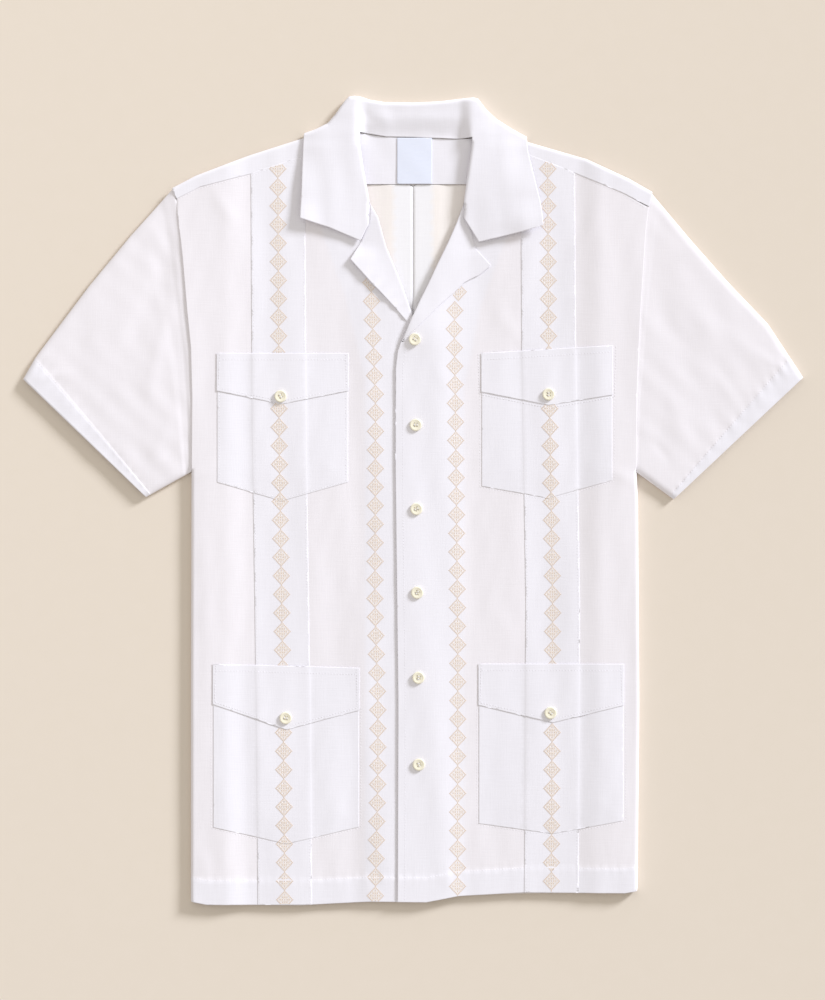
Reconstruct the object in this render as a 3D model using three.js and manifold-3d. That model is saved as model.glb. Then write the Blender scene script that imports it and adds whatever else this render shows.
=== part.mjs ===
// A men's short-sleeved guayabera shirt laid flat, front up, with both body sides turned under.
// Millimetres. +Y points to the collar, +Z up; the shirt rests on z = 0 with its box centred on the origin.
// "left" and "right" in piece names are the wearer's: the wearer's left front lies at +X and laps over.
import * as THREE from 'three';
import { mergeVertices } from 'three/addons/utils/BufferGeometryUtils.js';
import Module from 'manifold-3d';

const wasm = await Module();
wasm.setup();

// ---- driving dimensions -------------------------------------------------------------------------------
const CLOTH = 1.0; // thickness of one ply
const GAP = 0.3; // clearance between pieces at a seam and between plies
const LAYER = CLOTH + GAP; // one ply up
const COLLAR_CLOTH = 1.2; // the collar is two plies and an interlining pressed together
const TURN_UNDER = 57; // how far each side is folded under the body
const SIDE_REACH = 6; // plan depth of the soft roll down each side
const SHOULDER_REACH = 4; // plan depth of the roll along each shoulder
const PLEAT_HALF = 19; // half width of the box pleat down the centre of the back
const BUTTON = { radius: 6, thick: 2.4, rim: 1.1, dish: 0.6, sides: 12 };
const LAPEL_REACH = 1.6; // plan depth of the front's own roll at the lapel,
const LAPEL_NEST = 1.5; // which lies this far inside the facing's
const COLLAR_REACH = 3; // of the collar's roll round the back of the neck
const ROLL_REACH = 2.6; // and of its roll down each side of the neck
const BACK_TURN = { inFrom: 4, reach: 2.2 }; // the back's folded side lies inside the front's
const BACK_RAMP = [150, 160]; // where the back rises from the surface onto the turned-under plies
const SIDE_HEIGHT = 7.0; // underside of the fronts over the turned-under plies
const JOIN = 0.6; // overlap by which the parts of one piece are joined
const SLEEVE_SPAN = 200; // a sleeve's flat width
const TIDY = 0.02; // facets finer than this are merged
const BELOW = -20; // cutters start here
const CUT_HEIGHT = 60; // and are this tall

// Body edge: the folded side up to the underarm, then the armhole seam up to the shoulder point.
const BODY_EDGE = [
  { y: -400, right: -217.6, left: 219.8 },
  { y: -200, right: -217.6, left: 221.8 },
  { y: 0, right: -217.2, left: 220.5 },
  { y: 30, right: -217.1, left: 218.9 },
  { y: 102, right: -214.5, left: 219.4 },
  { y: 150, right: -214.6, left: 221.4 },
  { y: 180, right: -224.0, left: 222.8 },
  { y: 262, right: -225.5, left: 228.0 },
  { y: 288, right: -228.0, left: 231.0 },
];
const SIDE_ROWS = 5; // the first rows of BODY_EDGE are folded under,
const FOLD_END = 102; // up to this height
const BACK_EDGE = 211; // where the back's folded side ends there, from the centre
const UNDERARM_ROW = 3; // the sleeve is set in from this row up

// Shoulder, from the armhole to the neck: the ridge is the outline, and the yoke comes over it to the front.
const SHOULDER = {
  left: [
    { x: 234.2, ridge: 302.8, depth: 15 },
    { x: 211.7, ridge: 315.6, depth: 14.5 },
    { x: 169.5, ridge: 335.2, depth: 16 },
    { x: 110.2, ridge: 352.5, depth: 10 },
    { x: 65.0, ridge: 364.0, depth: 12 },
  ],
  right: [
    { x: -236.6, ridge: 306.3, depth: 10 },
    { x: -213.0, ridge: 318.6, depth: 11 },
    { x: -160.4, ridge: 338.7, depth: 17 },
    { x: -105.4, ridge: 356.5, depth: 16 },
    { x: -63.0, ridge: 366.0, depth: 13 },
  ],
};

const HEM = [
  { x: -225, y: -391.0 },
  { x: -202, y: -395.4 },
  { x: -110, y: -396.0 },
  { x: -42, y: -392.5 },
  { x: 13, y: -393.0 },
  { x: 44, y: -387.1 },
  { x: 107, y: -383.6 },
  { x: 207, y: -384.1 },
  { x: 225, y: -381.0 },
];

// Underside of each front by distance across. The lapping front rises over the other at the centre,
// and both rise at the sides over the plies that are turned under.
const FRONT_HEIGHT = {
  left: [
    { x: -40, z: 7.8 },
    { x: 20, z: 7.8 },
    { x: 60, z: 4.2 },
    { x: 140, z: 4.2 },
    { x: 160, z: 4.6 },
    { x: 180, z: 7.0 },
    { x: 260, z: 7.0 },
  ],
  right: [
    { x: -260, z: 7.0 },
    { x: -180, z: 7.0 },
    { x: -160, z: 4.6 },
    { x: -140, z: 4.2 },
    { x: -60, z: 4.2 },
    { x: -40, z: 5.2 },
    { x: 40, z: 5.2 },
  ],
};
// Underside of the yoke where it lies on the back, over the collar's fall.
const YOKE_HEIGHT = [
  { x: -260, z: 2.6 },
  { x: -160, z: 2.6 },
  { x: -140, z: 1.5 },
  { x: 140, z: 1.5 },
  { x: 160, z: 2.6 },
  { x: 260, z: 2.6 },
];

// Long soft folds in the fronts: a raised ridge each.
const FOLDS = [
  { x: -84, y: 40, halfWidth: 34, halfLength: 190, height: 0.8 },
  { x: -100, y: -120, halfWidth: 40, halfLength: 90, height: 0.6 },
  { x: -190, y: -250, halfWidth: 30, halfLength: 150, height: 0.5 },
  { x: 84, y: 30, halfWidth: 34, halfLength: 200, height: 0.8 },
  { x: 176, y: -60, halfWidth: 30, halfLength: 110, height: 0.6 },
  { x: 60, y: -330, halfWidth: 34, halfLength: 90, height: 0.6 },
];
const GRID = { x: 20, y: 80 }; // facets of every ply that follows the fronts

// The V of the neck: collar roll, then lapel roll, down to where the fronts meet.
const COLLAR_ROLL = {
  left: [[50.0, 293.4], [54.5, 325], [57.5, 345], [59.0, 361]],
  right: [[-43.0, 294.4], [-48.5, 325], [-51.5, 345], [-53.5, 361]],
};
const LAPEL_ROLL = {
  left: [[-1.5, 179], [8.5, 200], [17.1, 217.5], [23.5, 231.3], [34.3, 253.3], [43.1, 273.4], [49.5, 291]],
  right: [[-3.5, 191], [-12.7, 216.6], [-26.5, 249.9], [-34.3, 278.3], [-42.3, 292]],
};
const LAPEL_EDGE = {
  left: [[7, 173], [27.9, 193.6], [51, 214.6], [76.4, 230.8], [60.8, 248]],
  right: [[-18, 190], [-38, 211], [-61.2, 236.8], [-51.2, 253.6]],
};
// Front edge below the lapel, and the neck edge above it, hidden under the collar.
const FRONT_EDGE = {
  left: [[-15.1, -400], [-14.5, -197], [-17.2, 32], [-17, 129.4], [-14.3, 150.9], [-6.5, 168]],
  right: [[18, -400], [18, 140], [9, 165]],
};
const FRONT_NECK = {
  left: [[57, 325], [64.5, 350]],
  right: [[-51, 325], [-62.5, 351]],
};
// Inner edge of the facing that backs each front, from the hem to the shoulder.
const FACING_EDGE = {
  left: [[50, -400], [50, 110], [66, 190], [92, 260], [98, 337]],
  right: [[-47, -400], [-47, 120], [-66, 200], [-88, 260], [-95, 337]],
};

const YOKE_NECK = [[-56, 362.5], [-52, 361], [-26, 356.9], [0, 356.4], [41.8, 354.7], [58, 355.4]];
const YOKE_SEAM_Y = 310.7; // centre of the back, level to YOKE_LEVEL, then sloping to the armhole
const YOKE_LEVEL = 60;
const YOKE_ARM_DROP = 36;

// Collar outline as it lies: the turned roll round the back, the leaves' points in front.
const COLLAR_TOP = [
  [-106.5, 360.4], [-83.8, 370], [-70.6, 387], [-62.7, 396.2], [-51, 396], [-42, 393], [-28.4, 390.6],
  [0, 390.7], [26, 391.8], [50, 394.5], [63.7, 394.1], [71.5, 383.6], [96, 365], [111, 356.8],
];
const COLLAR_LEAF = {
  left: [[125, 290], [127.4, 270], [106.8, 263.8], [64.6, 253.8]],
  right: [[-108.9, 305], [-110.3, 276.9], [-81.3, 267.7], [-51.4, 255]],
};
const COLLAR_SEAM = [[-52, 361.8], [-26, 357.6], [0, 357.1], [41.8, 355.4], [58, 356.2]];
const COLLAR_FALL_EDGE = [[103, 345], [88, 336], [-84, 336], [-99, 347]];
// Middle of the collar's upper ply: rows by y, columns by distance from the centre line.
const COLLAR_ACROSS = { stand: 45, roll: 58, leaf: 84, edge: 110 };
const COLLAR_HEIGHT = [
  { y: 250, stand: 9.4, roll: 9.6, leaf: 11.0, edge: 12.0 },
  { y: 300, stand: 9.6, roll: 9.8, leaf: 10.0, edge: 10.5 },
  { y: 345, stand: 9.6, roll: 9.8, leaf: 8.8, edge: 7.6 },
  { y: 357, stand: 3.6, roll: 9.4, leaf: 8.2, edge: 6.6 },
  { y: 400, stand: 5.2, roll: 7.6, leaf: 6.4, edge: 6.0 },
];
const COLLAR_GRID = { x: 22, y: 24 };
const COLLAR_UNDER = 0.6; // middle of the fall that lies under the yoke
const COLLAR_HIDDEN = 7.4; // middle of the stand that lies under each leaf

// Stitched-on bands from yoke to hem, as the middle and width by height.
const BAND_WIDTH = 53;
const BANDS = {
  left: [{ x: 135.5, y: -400 }, { x: 137, y: -100 }, { x: 133, y: 150 }, { x: 132, y: 345 }],
  right: [{ x: -125.5, y: -400 }, { x: -127, y: -200 }, { x: -131, y: 60 }, { x: -132.5, y: 345 }],
};

// Pockets: top corners, bottom corners and the point; the flap's ends and its point.
const POCKETS = [
  {
    name: 'chest_right', front: 'right', left: [-191.7, 144.4, 18.4], right: [-63.7, 144.4, 18.4],
    point: [-128.7, 0], flap: [108, 95, 108], button: [-129.7, 98.6 + 4],
  },
  {
    name: 'chest_left', front: 'left', left: [67.4, 144.4, 14.5], right: [195, 151.9, 20.3],
    point: [132.6, 2.9], flap: [107, 94, 104], button: [132.7, 100.5 + 4],
  },
  {
    name: 'waist_right', front: 'right', left: [-195.5, -160, -319.5], right: [-53.1, -164, -319.5],
    point: [-124.2, -336], flap: [-199, -224, -205], button: [-124.7, -212.5],
  },
  {
    name: 'waist_left', front: 'left', left: [64.6, -160, -316], right: [206, -160, -313],
    point: [137.2, -326], flap: [-200, -217, -200], button: [134.7, -207.5],
  },
].map(({ left, right, point, flap, button, ...rest }) => ({
  ...rest,
  left: { x: left[0], top: left[1], bottom: left[2], flap: flap[0] },
  right: { x: right[0], top: right[1], bottom: right[2], flap: flap[2] },
  point: { x: point[0], y: point[1], flap: flap[1] },
  button: { x: button[0], y: button[1] },
}));
const FLAP_OVERHANG = 0.6; // the flap is this much wider than its pocket on each side

const FRONT_BUTTONS = [
  { x: 1.8, y: 158.3 }, { x: 2.7, y: 74.5 }, { x: 3.3, y: -7.8 },
  { x: 4.1, y: -89.7 }, { x: 5.3, y: -173 }, { x: 5.7, y: -258 },
];
const LABEL = { x: 1.5, y: 333.6, width: 34, height: 45, thick: 0.8 };

// Sleeves: the outer edge from shoulder to cuff, the cuff's inner corner, and the heights along the sleeve.
const SLEEVE = {
  right: { edge: [[-237, 306.3], [-279.4, 259.3], [-319.8, 210.5], [-372, 141], [-384.2, 119.6]], inner: [-261.7, 3.9] },
  left: { edge: [[234.6, 302.8], [274.4, 255.6], [310.7, 214.6], [350, 173.5], [384.4, 121.2]], inner: [255.5, 1.8] },
};
const SLEEVE_ROWS = [
  { along: 0, top: 8.0, bottom: 2.6 },
  { along: 0.06, top: 6.0, bottom: 1.9 },
  { along: 0.17, top: 6.1, bottom: 0.7 },
  { along: 0.35, top: 5.4, bottom: 0 },
  { along: 0.62, top: 5.2, bottom: 0 },
  { along: 1, top: 5.2, bottom: 0 },
];
// Round a sleeve's two folded edges: share of the way across, and share of the height there.
const SLEEVE_EDGES = [{ share: 0.012, height: 0.88 }, { share: 0.04, height: 1 }];

// ---- finishes -----------------------------------------------------------------------------------------
const FINISH = {
  cloth: { color: 0xf3f2f8, roughness: 0.9, metalness: 0 },
  band: { color: 0xf2f1f7, roughness: 0.9, metalness: 0 },
  label: { color: 0xe6eafa, roughness: 0.7, metalness: 0 },
  button: { color: 0xf6f2d8, roughness: 0.3, metalness: 0 },
};

// ---- small helpers ------------------------------------------------------------------------------------
function lookup(rows, key, at, column) {
  const next = rows.findIndex((row) => row[key] >= at);
  if (next === 0) return rows[0][column];
  if (next < 0) return rows[rows.length - 1][column];
  const [a, b] = [rows[next - 1], rows[next]];
  return THREE.MathUtils.mapLinear(at, a[key], b[key], a[column], b[column]);
}

function bump(share) {
  return Math.abs(share) < 1 ? Math.cos((share * Math.PI) / 2) ** 2 : 0;
}

function toManifold(geometry) {
  geometry.deleteAttribute('normal');
  geometry.deleteAttribute('uv');
  const merged = mergeVertices(geometry, 1e-4);
  const triVerts = new Uint32Array(merged.index.array);
  const vertProperties = new Float32Array(merged.attributes.position.array);
  return new wasm.Manifold(new wasm.Mesh({ numProp: 3, vertProperties, triVerts }));
}

function toGeometry(solid) {
  const mesh = solid.simplify(TIDY).getMesh();
  const geometry = new THREE.BufferGeometry();
  geometry.setAttribute('position', new THREE.BufferAttribute(mesh.vertProperties, 3));
  geometry.setIndex(new THREE.BufferAttribute(mesh.triVerts, 1));
  return geometry;
}

// A closed geometry from points and four-cornered faces, turned so that it faces out.
function geometryOf(points, quads) {
  const geometry = new THREE.BufferGeometry();
  geometry.setAttribute('position', new THREE.Float32BufferAttribute(points.flatMap((p) => [p.x, p.y, p.z]), 3));
  geometry.setIndex(quads.flatMap(([a, b, c, d]) => [a, b, c, a, c, d]));
  return faceOut(geometry);
}

// A wall swept through sections: each ring runs along the outer side of the path and back along the inner.
function sweptWall(rings) {
  const count = rings[0].length;
  const last = (rings.length - 1) * count;
  const quads = [];
  for (let j = 0; j + 1 < rings.length; j += 1) {
    for (let i = 0; i < count; i += 1) {
      const next = (i + 1) % count;
      quads.push([j * count + i, j * count + next, (j + 1) * count + next, (j + 1) * count + i]);
    }
  }
  for (let i = 0; i + 1 < count / 2; i += 1) {
    const back = count - 1 - i;
    quads.push([i, back, back - 1, i + 1]);
    quads.push([last + i, last + i + 1, last + back - 1, last + back]);
  }
  return toManifold(geometryOf(rings.flat(), quads));
}

// An open tube's wall: closed loops outside and inside, joined by a rim at each end.
function tubeWall(outer, inner) {
  const count = outer[0].length;
  const total = outer.length * count;
  const last = total - count;
  const quads = [];
  for (let i = 0; i < count; i += 1) {
    const next = (i + 1) % count;
    for (let j = 0; j < last; j += count) {
      quads.push([j + i, j + next, j + count + next, j + count + i]);
      quads.push([total + j + i, total + j + count + i, total + j + count + next, total + j + next]);
    }
    quads.push([i, total + i, total + next, next]);
    quads.push([last + i, last + next, total + last + next, total + last + i]);
  }
  return toManifold(geometryOf([...outer.flat(), ...inner.flat()], quads));
}

function signedVolume(geometry) {
  const p = geometry.attributes.position;
  const index = geometry.index.array;
  const [a, b, c] = [new THREE.Vector3(), new THREE.Vector3(), new THREE.Vector3()];
  let total = 0;
  for (let k = 0; k < index.length; k += 3) {
    a.fromBufferAttribute(p, index[k]);
    b.fromBufferAttribute(p, index[k + 1]);
    c.fromBufferAttribute(p, index[k + 2]);
    total += a.dot(b.cross(c)) / 6;
  }
  return total;
}

function faceOut(geometry) {
  if (signedVolume(geometry) < 0) {
    const index = geometry.index.array;
    for (let k = 0; k < index.length; k += 3) {
      [index[k], index[k + 1]] = [index[k + 1], index[k]];
    }
  }
  return geometry;
}

// A path in a plane, thickened to both sides: the outer points out, then the inner points back.
function thicken(path, thick) {
  const points = path.map(([d, z]) => new THREE.Vector2(d, z));
  const offset = (k) => {
    const before = points[k].clone().sub(points[Math.max(k - 1, 0)]).normalize();
    const after = points[Math.min(k + 1, points.length - 1)].clone().sub(points[k]).normalize();
    const along = before.add(after).normalize();
    return new THREE.Vector2(-along.y, along.x).multiplyScalar(thick / 2);
  };
  const outer = points.map((p, k) => p.clone().add(offset(k)));
  const inner = points.map((p, k) => p.clone().sub(offset(k)));
  return [...outer, ...inner.reverse()];
}

function outwards(line, side) {
  return line.map((point, k) => {
    const [ax, ay] = line[Math.max(k - 1, 0)];
    const [bx, by] = line[Math.min(k + 1, line.length - 1)];
    const length = Math.hypot(bx - ax, by - ay);
    return [(side * (by - ay)) / length, (side * (ax - bx)) / length];
  });
}

function inset(line, side, distance) {
  const normals = outwards(line, side);
  return line.map(([x, y], k) => [x - normals[k][0] * distance, y - normals[k][1] * distance]);
}

// A cutter: the outline in plan, taller than the shirt.
function prism(outline) {
  const shape = new THREE.Shape(outline.map(([x, y]) => new THREE.Vector2(x, y)));
  const geometry = new THREE.ExtrudeGeometry(shape, { depth: CUT_HEIGHT, bevelEnabled: false, steps: 1 });
  geometry.translate(0, 0, BELOW);
  return toManifold(geometry);
}

// A ply whose underside is bottom(x, y) at the points of one fixed grid, cut to the outline.
function ply(outline, bottom, thick = CLOTH, grid = GRID) {
  const lines = (values, step) => {
    const first = Math.floor(Math.min(...values) / step);
    const last = Math.ceil(Math.max(...values) / step);
    return Array.from({ length: last - first + 1 }, (_, k) => (first + k) * step);
  };
  const xs = lines(outline.map(([x]) => x), grid.x);
  const ys = lines(outline.map(([, y]) => y), grid.y);
  const under = ys.flatMap((y) => xs.map((x) => new THREE.Vector3(x, y, bottom(x, y))));
  const over = under.map((p) => p.clone().setZ(p.z + thick));
  const [wide, lift] = [xs.length, under.length];
  const quads = [];
  const wall = (a, b) => quads.push([a, b, b + lift, a + lift]);
  for (let j = 0; j + 1 < ys.length; j += 1) {
    for (let i = 0; i + 1 < wide; i += 1) {
      const at = j * wide + i;
      quads.push([at, at + wide, at + wide + 1, at + 1]);
      quads.push([at + lift, at + lift + 1, at + lift + wide + 1, at + lift + wide]);
    }
    wall((j + 1) * wide, j * wide);
    wall(j * wide + wide - 1, (j + 1) * wide + wide - 1);
  }
  for (let i = 0; i + 1 < wide; i += 1) {
    wall(i, i + 1);
    wall(lift - i - 1, lift - i - 2);
  }
  return toManifold(geometryOf([...under, ...over], quads)).intersect(prism(outline));
}

// A soft fold along a line in plan: an upper ply, round the outside of the line, and a lower ply.
function fold(line, side, { top, bottom, topIn, bottomIn, reach, thick = CLOTH }) {
  const normals = outwards(line, side);
  const arc = [70, 40, 0, -40, -70].map((angle) => THREE.MathUtils.degToRad(angle));
  return sweptWall(line.map(([x, y], k) => {
    const [nx, ny] = normals[k];
    const [upper, lower] = [top, bottom].map((height) => height(x - nx * reach, y - ny * reach));
    const [middle, radius] = [(upper + lower) / 2, (upper - lower) / 2];
    const path = [
      [-topIn(k), upper],
      [-reach, upper],
      ...arc.map((a) => [(reach - thick / 2) * Math.cos(a) - reach, middle + radius * Math.sin(a)]),
      [-reach, lower],
      [-bottomIn(k), lower],
    ];
    return thicken(path, thick).map((p) => new THREE.Vector3(x + nx * p.x, y + ny * p.x, p.y));
  }));
}

// ---- places shared by several pieces ------------------------------------------------------------------
const outside = { left: 1, right: -1 }; // which way each front's side lies along X

function frontUnderside(side) {
  return (x, y) => {
    const folds = FOLDS.map((f) => f.height * bump((x - f.x) / f.halfWidth) * bump((y - f.y) / f.halfLength));
    return lookup(FRONT_HEIGHT[side], 'x', x, 'z') + folds.reduce((sum, height) => sum + height, 0);
  };
}

function raised(side, layers) {
  const under = frontUnderside(side);
  return (x, y) => under(x, y) + layers * LAYER;
}

// The height of a ply's facets at any place: each grid square is split from its low to its high corner.
function onFacet(bottom, x, y) {
  const [i, j] = [Math.floor(x / GRID.x), Math.floor(y / GRID.y)];
  const [s, t] = [x / GRID.x - i, y / GRID.y - j];
  const at = (a, b) => bottom((i + a) * GRID.x, (j + b) * GRID.y);
  const corner = s > t ? at(1, 0) : at(0, 1);
  const [near, far] = [corner - at(0, 0), at(1, 1) - corner];
  return at(0, 0) + (s > t ? near * s + far * t : near * t + far * s);
}

const edgeLine = (side, from, to) => BODY_EDGE.slice(from, to).map((row) => [row[side], row.y]);
// The shoulder line, drawn on past the armhole so that trimming cuts it cleanly.
function ridgeLine(side) {
  const line = SHOULDER[side].map((row) => [row.x, row.ridge]);
  const [end, next] = line;
  return [[2 * end[0] - next[0], 2 * end[1] - next[1]], ...line];
}
const yokeDepth = (side, k) => SHOULDER[side][Math.max(k - 1, 0)].depth;
function frontSeam(side) {
  const normals = outwards(ridgeLine(side), outside[side]);
  return ridgeLine(side).map(([x, y], k) => {
    const distance = yokeDepth(side, k) + GAP;
    return [x - normals[k][0] * distance, y - normals[k][1] * distance];
  });
}
const armhole = (side) => [
  [BODY_EDGE[SIDE_ROWS - 1][side] + outside[side] * 6, FOLD_END - 1],
  [BODY_EDGE[SIDE_ROWS - 1][side], FOLD_END - 0.5],
  ...edgeLine(side, SIDE_ROWS, BODY_EDGE.length),
  [SHOULDER[side][0].x, SHOULDER[side][0].ridge],
  [SHOULDER[side][0].x + outside[side] * 3, 420],
];
const bodyCutter = prism([...HEM.map(({ x, y }) => [x, y]), ...armhole('left'), ...armhole('right').reverse()]);
const seamCutter = prism([
  [-280, -420], [280, -420], ...frontSeam('left'), [0, 360], ...frontSeam('right').reverse(),
]);

// ---- pieces -------------------------------------------------------------------------------------------
const group = new THREE.Group();

function addPiece(name, solid, finish) {
  const mesh = new THREE.Mesh(toGeometry(solid), new THREE.MeshStandardMaterial(FINISH[finish]));
  mesh.name = name;
  group.add(mesh);
}

// Folded side of a front (outer) or of the back (inside it), from the hem to above the underarm.
function turnedSide(side, { top, bottom, inFrom, reach }) {
  const line = inset(edgeLine(side, 0, SIDE_ROWS), outside[side], inFrom);
  const overlap = reach + JOIN;
  return fold(line, outside[side], {
    top: () => top,
    bottom: () => bottom,
    topIn: () => overlap,
    bottomIn: (k) => (k === SIDE_ROWS - 1 ? overlap : TURN_UNDER - inFrom),
    reach,
  }).intersect(bodyCutter);
}

// The lapel of a front: a roll along the neck line and the ply that it turns back.
function lapelOf(side, { inFrom, reach, below, above }) {
  const towardNeck = -outside[side];
  const underside = frontUnderside(side);
  const middle = CLOTH / 2;
  const roll = fold(inset(LAPEL_ROLL[side], towardNeck, inFrom), towardNeck, {
    top: (x, y) => onFacet(underside, x, y) + above * LAYER + middle,
    bottom: (x, y) => onFacet(underside, x, y) - below * LAYER + middle,
    topIn: () => reach + JOIN,
    bottomIn: () => reach + JOIN,
    reach,
  });
  const turnedBack = [...inset(LAPEL_ROLL[side], towardNeck, inFrom + reach + JOIN / 2), ...LAPEL_EDGE[side].slice().reverse()];
  return roll.add(ply(turnedBack, raised(side, above)));
}

function front(side) {
  const out = outside[side];
  const neck = inset(LAPEL_ROLL[side], -out, LAPEL_NEST + LAPEL_REACH + JOIN / 2);
  const panel = ply([
    ...FRONT_EDGE[side], ...neck, ...FRONT_NECK[side], ...frontSeam(side).reverse(),
    [out * 240, FOLD_END], ...inset(edgeLine(side, 0, SIDE_ROWS), out, SIDE_REACH + JOIN / 2).reverse(),
  ], frontUnderside(side)).intersect(bodyCutter);
  const turned = turnedSide(side, {
    top: SIDE_HEIGHT + CLOTH / 2,
    bottom: CLOTH / 2,
    inFrom: 0,
    reach: SIDE_REACH,
  });
  const lapel = lapelOf(side, { inFrom: LAPEL_NEST, reach: LAPEL_REACH, below: 0, above: 1 });
  addPiece(`front_${side}`, panel.add(turned).add(lapel), 'cloth');
}

// The facing lies behind its front, turns round the same roll outside it and shows as the lapel.
function facing(side) {
  const neck = inset(LAPEL_ROLL[side], -outside[side], LAPEL_NEST + LAPEL_REACH + JOIN / 2);
  const inner = [...FRONT_EDGE[side], ...neck, ...FRONT_NECK[side], ...FACING_EDGE[side].slice().reverse()];
  const panel = ply(inner, raised(side, -1)).intersect(bodyCutter);
  const lapel = lapelOf(side, { inFrom: 0, reach: LAPEL_NEST + LAPEL_REACH, below: 1, above: 2 });
  addPiece(`facing_${side}`, panel.add(lapel), 'cloth');
}

// The back: one ply from side to side with a box pleat, whose folds meet inside at the centre.
function back() {
  const [low, mid, high] = [0, 1, 2].map((plies) => plies * LAYER + CLOTH / 2);
  const bend = 0.6;
  const half = [
    [PLEAT_HALF - CLOTH / 2 - bend, low], [PLEAT_HALF - CLOTH / 2, (low + mid) / 2],
    [PLEAT_HALF - CLOTH / 2 - bend, mid], [2 * bend, mid],
    [(GAP + CLOTH) / 2, (mid + high) / 2], [2 * bend, high],
    [PLEAT_HALF + 3, high], [PLEAT_HALF + 12, low], [BACK_RAMP[0], low], [BACK_RAMP[1], high], [240, high],
  ];
  const path = [...half.map(([x, z]) => [-x, z]).reverse(), ...half];
  const section = thicken(path, CLOTH);
  const seamY = YOKE_SEAM_Y - GAP;
  const core = sweptWall([-400, seamY].map((y) => section.map((p) => new THREE.Vector3(p.x, y, p.y))));
  const edge = (side) => [
    ...inset(edgeLine(side, 0, SIDE_ROWS), outside[side], BACK_TURN.inFrom + BACK_TURN.reach),
    [outside[side] * (BACK_EDGE - BACK_TURN.reach), FOLD_END + 1],
    [outside[side] * 240, FOLD_END + 1],
    [outside[side] * 240, seamY - YOKE_ARM_DROP],
    [outside[side] * YOKE_LEVEL, seamY],
  ];
  const panel = core.intersect(prism([...edge('left'), ...edge('right').reverse()])).intersect(bodyCutter);
  const turned = ['left', 'right'].map((side) => turnedSide(side, { top: high, bottom: mid, ...BACK_TURN }));
  addPiece('back_panel', panel.add(turned[0]).add(turned[1]), 'cloth');
}

// The yoke: flat across the back, round both shoulders, and down to the seams of the fronts.
function yoke() {
  const underside = (x) => lookup(YOKE_HEIGHT, 'x', x, 'z');
  const middle = CLOTH / 2;
  const ridge = (side) => inset(ridgeLine(side), outside[side], SHOULDER_REACH);
  const across = ply([
    [-YOKE_LEVEL, YOKE_SEAM_Y], [YOKE_LEVEL, YOKE_SEAM_Y], [240, YOKE_SEAM_Y - YOKE_ARM_DROP], ...ridge('left'),
    ...YOKE_NECK.slice().reverse(), ...ridge('right').reverse(), [-240, YOKE_SEAM_Y - YOKE_ARM_DROP],
  ], underside).intersect(bodyCutter);
  const shoulders = ['left', 'right'].map((side) => fold(ridgeLine(side), outside[side], {
    top: (x, y) => frontUnderside(side)(x, y) + middle,
    bottom: (x) => underside(x) + middle,
    topIn: (k) => yokeDepth(side, k),
    bottomIn: () => SHOULDER_REACH + JOIN,
    reach: SHOULDER_REACH,
  }).intersect(bodyCutter));
  addPiece('back_yoke', across.add(shoulders[0]).add(shoulders[1]), 'cloth');
}

// The collar: leaves on the fronts, the stand inside the neck, and the fall turned under the back.
function collarHeight(x, y) {
  const columns = Object.entries(COLLAR_ACROSS).map(([column, at]) => ({
    at, z: lookup(COLLAR_HEIGHT, 'y', y, column),
  }));
  return lookup(columns, 'at', Math.abs(x), 'z');
}

function collar() {
  const under = COLLAR_CLOTH / 2;
  const rolls = { left: COLLAR_ROLL.left, right: COLLAR_ROLL.right };
  const top = inset(COLLAR_TOP, -1, COLLAR_REACH + JOIN / 2);
  const upper = ply([
    ...inset(rolls.left, -1, ROLL_REACH + JOIN / 2), ...COLLAR_SEAM.slice().reverse(),
    ...inset(rolls.right, 1, ROLL_REACH + JOIN / 2).reverse(), ...COLLAR_LEAF.right.slice().reverse(),
    [-107.6, 345], ...top, [112.2, 343], ...COLLAR_LEAF.left,
  ], (x, y) => collarHeight(x, y) - under, COLLAR_CLOTH, COLLAR_GRID);
  const fall = ply([...top, ...COLLAR_FALL_EDGE], () => 0, COLLAR_CLOTH, { x: 300, y: 400 });
  const turned = fold(COLLAR_TOP, -1, {
    top: collarHeight,
    bottom: () => under,
    topIn: () => COLLAR_REACH + JOIN,
    bottomIn: () => COLLAR_REACH + JOIN,
    reach: COLLAR_REACH,
    thick: COLLAR_CLOTH,
  });
  const neckRolls = Object.entries(rolls).map(([side, line]) => fold(line, -outside[side], {
    top: collarHeight,
    bottom: () => COLLAR_HIDDEN,
    topIn: () => ROLL_REACH + JOIN,
    bottomIn: () => 10,
    reach: ROLL_REACH,
    thick: COLLAR_CLOTH,
  }));
  addPiece('collar', upper.add(fall).add(turned).add(neckRolls[0]).add(neckRolls[1]), 'cloth');
}

function band(side) {
  const rows = BANDS[side];
  const edges = [-1, 1].map((way) => rows.map(({ x, y }) => [x + (way * BAND_WIDTH) / 2, y]));
  const strip = ply([...edges[1], ...edges[0].reverse()], raised(side, 1));
  addPiece(`band_${side}`, strip.intersect(bodyCutter).intersect(seamCutter), 'band');
}

function pocket({ name, front: side, left, right, point }) {
  const outline = [
    [left.x, left.top], [left.x, left.bottom], [point.x, point.y], [right.x, right.bottom], [right.x, right.top],
  ];
  addPiece(`pocket_${name}`, ply(outline, raised(side, 2)), 'cloth');
}

function flap({ name, front: side, left, right, point }) {
  const [x0, x1] = [left.x - FLAP_OVERHANG, right.x + FLAP_OVERHANG];
  const outline = [[x0, left.top], [x0, left.flap], [point.x, point.flap], [x1, right.flap], [x1, right.top]];
  addPiece(`flap_${name}`, ply(outline, raised(side, 3)), 'cloth');
}

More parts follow.
